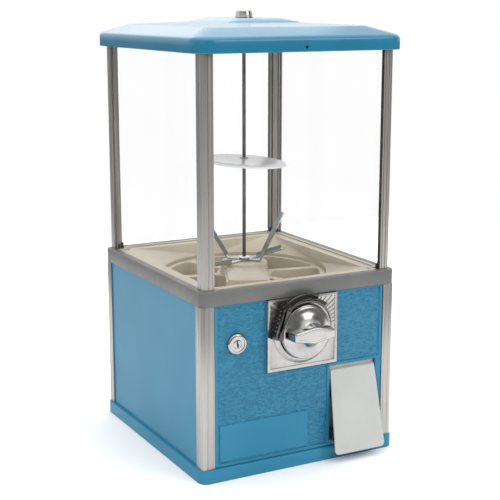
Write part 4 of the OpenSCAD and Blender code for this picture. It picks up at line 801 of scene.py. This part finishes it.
class GUMBALL_OT_stage(bpy.types.Operator):
    """Plain pale floor, white backdrop, soft lamps and the camera"""
    bl_idname = "gumball.stage"
    bl_label = "Stage"

    def execute(self, context):
        scene = context.scene
        scene.view_settings.view_transform = "Standard"
        pale = tuple(scene.gumball_look.floor) + (1.0,)

        world = bpy.data.worlds.new("studio")
        world.use_nodes = True
        tree = world.node_tree
        tree.nodes.clear()
        path = add(tree, "ShaderNodeLightPath")
        seen = add(tree, "ShaderNodeMath", {0: path.outputs["Is Camera Ray"],
                                            1: path.outputs["Is Transmission Ray"]}, operation="MAXIMUM")
        way = add(tree, "ShaderNodeSeparateXYZ", {0: add(tree, "ShaderNodeTexCoord").outputs["Generated"]})
        high = add(tree, "ShaderNodeMapRange", {"Value": way.outputs["Z"], "From Min": 0.45, "From Max": 0.8,
                                                "To Min": 0.0, "To Max": 1.0}).outputs["Result"]
        behind = add(tree, "ShaderNodeMapRange", {"Value": way.outputs["Y"], "To Min": 0.0, "To Max": 1.0,
                                                  "From Min": -0.25, "From Max": 0.25}).outputs["Result"]
        above = add(tree, "ShaderNodeMapRange", {"Value": way.outputs["Z"], "To Min": 0.0, "To Max": 1.0,
                                                 "From Min": -0.02, "From Max": 0.06}).outputs["Result"]
        behind = add(tree, "ShaderNodeMath", {0: behind, 1: above}, operation="MULTIPLY").outputs[0]
        level = add(tree, "ShaderNodeMath", {0: high, 1: behind}, operation="MAXIMUM")
        glare = add(tree, "ShaderNodeMapRange", {"Value": level.outputs[0], "To Min": 0.2, "To Max": 1.0})
        glare = glare.outputs["Result"]
        mirrored = add(tree, "ShaderNodeBackground", {"Color": (1, 1, 1, 1), "Strength": glare})
        sky = add(tree, "ShaderNodeMapRange", {"Value": way.outputs["Z"], "From Min": 0.2, "From Max": 0.7,
                                               "To Min": 0.25, "To Max": 1.5}).outputs["Result"]
        dim = add(tree, "ShaderNodeBackground", {"Color": (1, 1, 1, 1), "Strength": sky})
        white = add(tree, "ShaderNodeBackground", {"Color": (1, 1, 1, 1), "Strength": 1.0})
        soft = add(tree, "ShaderNodeMixShader", {0: path.outputs["Is Glossy Ray"], 1: dim.outputs[0],
                                                 2: mirrored.outputs[0]})
        mix = add(tree, "ShaderNodeMixShader", {0: seen.outputs[0], 1: soft.outputs[0], 2: white.outputs[0]})
        add(tree, "ShaderNodeOutputWorld", {"Surface": mix.outputs[0]})
        scene.world = world

        bm = bmesh.new()
        bmesh.ops.create_grid(bm, x_segments=2, y_segments=2, size=1.35)
        mesh = bpy.data.meshes.new("floor")
        bm.to_mesh(mesh)
        bm.free()
        floor = bpy.data.objects.new("floor", mesh)
        scene.collection.objects.link(floor)
        mat, tree, shader, _ = begin("pale_floor")
        shader.inputs["Base Color"].default_value = pale
        shader.inputs["Roughness"].default_value = 0.9
        shader.inputs["Specular IOR Level"].default_value = 0.1
        mesh.materials.append(mat)

        lamps = (("key", (1.5, -2.6, 1.9), 1.6, 22), ("fill", (-2.4, -1.6, 1.6), 2.0, 4),
                 ("back", (0.8, 2.4, 2.2), 2.2, 10), ("top", (0.0, 0.0, 3.0), 2.2, 14))
        for name, place, size, power in lamps:
            light = bpy.data.lights.new(name, "AREA")
            light.size = size
            light.energy = power
            lamp = bpy.data.objects.new(name, light)
            lamp.location = place
            aim = Vector((0, 0, 0.28)) - Vector(place)
            lamp.rotation_euler = aim.to_track_quat("-Z", "Y").to_euler()
            scene.collection.objects.link(lamp)

        lens = bpy.data.cameras.new("camera")
        lens.sensor_width = 36.0
        lens.lens = 84.0
        camera = bpy.data.objects.new("camera", lens)
        camera.location = (-0.77640, -1.45861, 0.62240)
        back = Vector((-0.463996, -0.861017, 0.208223))
        camera.rotation_euler = (-back).to_track_quat("-Z", "Y").to_euler()
        scene.collection.objects.link(camera)
        scene.camera = camera
        return {"FINISHED"}


STEPS = ("finishes", "lid", "belt", "base", "posts", "hopper", "agitator", "disc", "door", "mechanism",
         "locks", "flap", "inside", "stage")


class GUMBALL_PT_panel(bpy.types.Panel):
    """Lists the machine's pieces in the sidebar"""
    bl_idname = "GUMBALL_PT_panel"
    bl_label = "Gumball machine"
    bl_space_type = "VIEW_3D"
    bl_region_type = "UI"
    bl_category = "Gumball"

    def draw(self, context):
        for prop in ("edge", "lid_edge", "disc_rim", "knurls"):
            self.layout.prop(context.scene.gumball_sizes, prop)
        self.layout.prop(context.scene.gumball_look, "floor")
        for step in STEPS:
            self.layout.operator("gumball." + step)


CLASSES = (GumballSizes, GumballLook, GUMBALL_OT_finishes, GUMBALL_OT_lid, GUMBALL_OT_belt, GUMBALL_OT_base,
           GUMBALL_OT_posts, GUMBALL_OT_hopper, GUMBALL_OT_agitator, GUMBALL_OT_disc, GUMBALL_OT_door,
           GUMBALL_OT_mechanism, GUMBALL_OT_locks, GUMBALL_OT_flap, GUMBALL_OT_inside, GUMBALL_OT_stage,
           GUMBALL_PT_panel)


def register():
    for cls in CLASSES:
        bpy.utils.register_class(cls)
    bpy.types.Scene.gumball_sizes = PointerProperty(type=GumballSizes)
    bpy.types.Scene.gumball_look = PointerProperty(type=GumballLook)


def unregister():
    del bpy.types.Scene.gumball_look
    del bpy.types.Scene.gumball_sizes
    for cls in reversed(CLASSES):
        bpy.utils.unregister_class(cls)


def main():
    register()
    for step in STEPS:
        getattr(bpy.ops.gumball, step)()


if __name__ == "__main__":
    main()
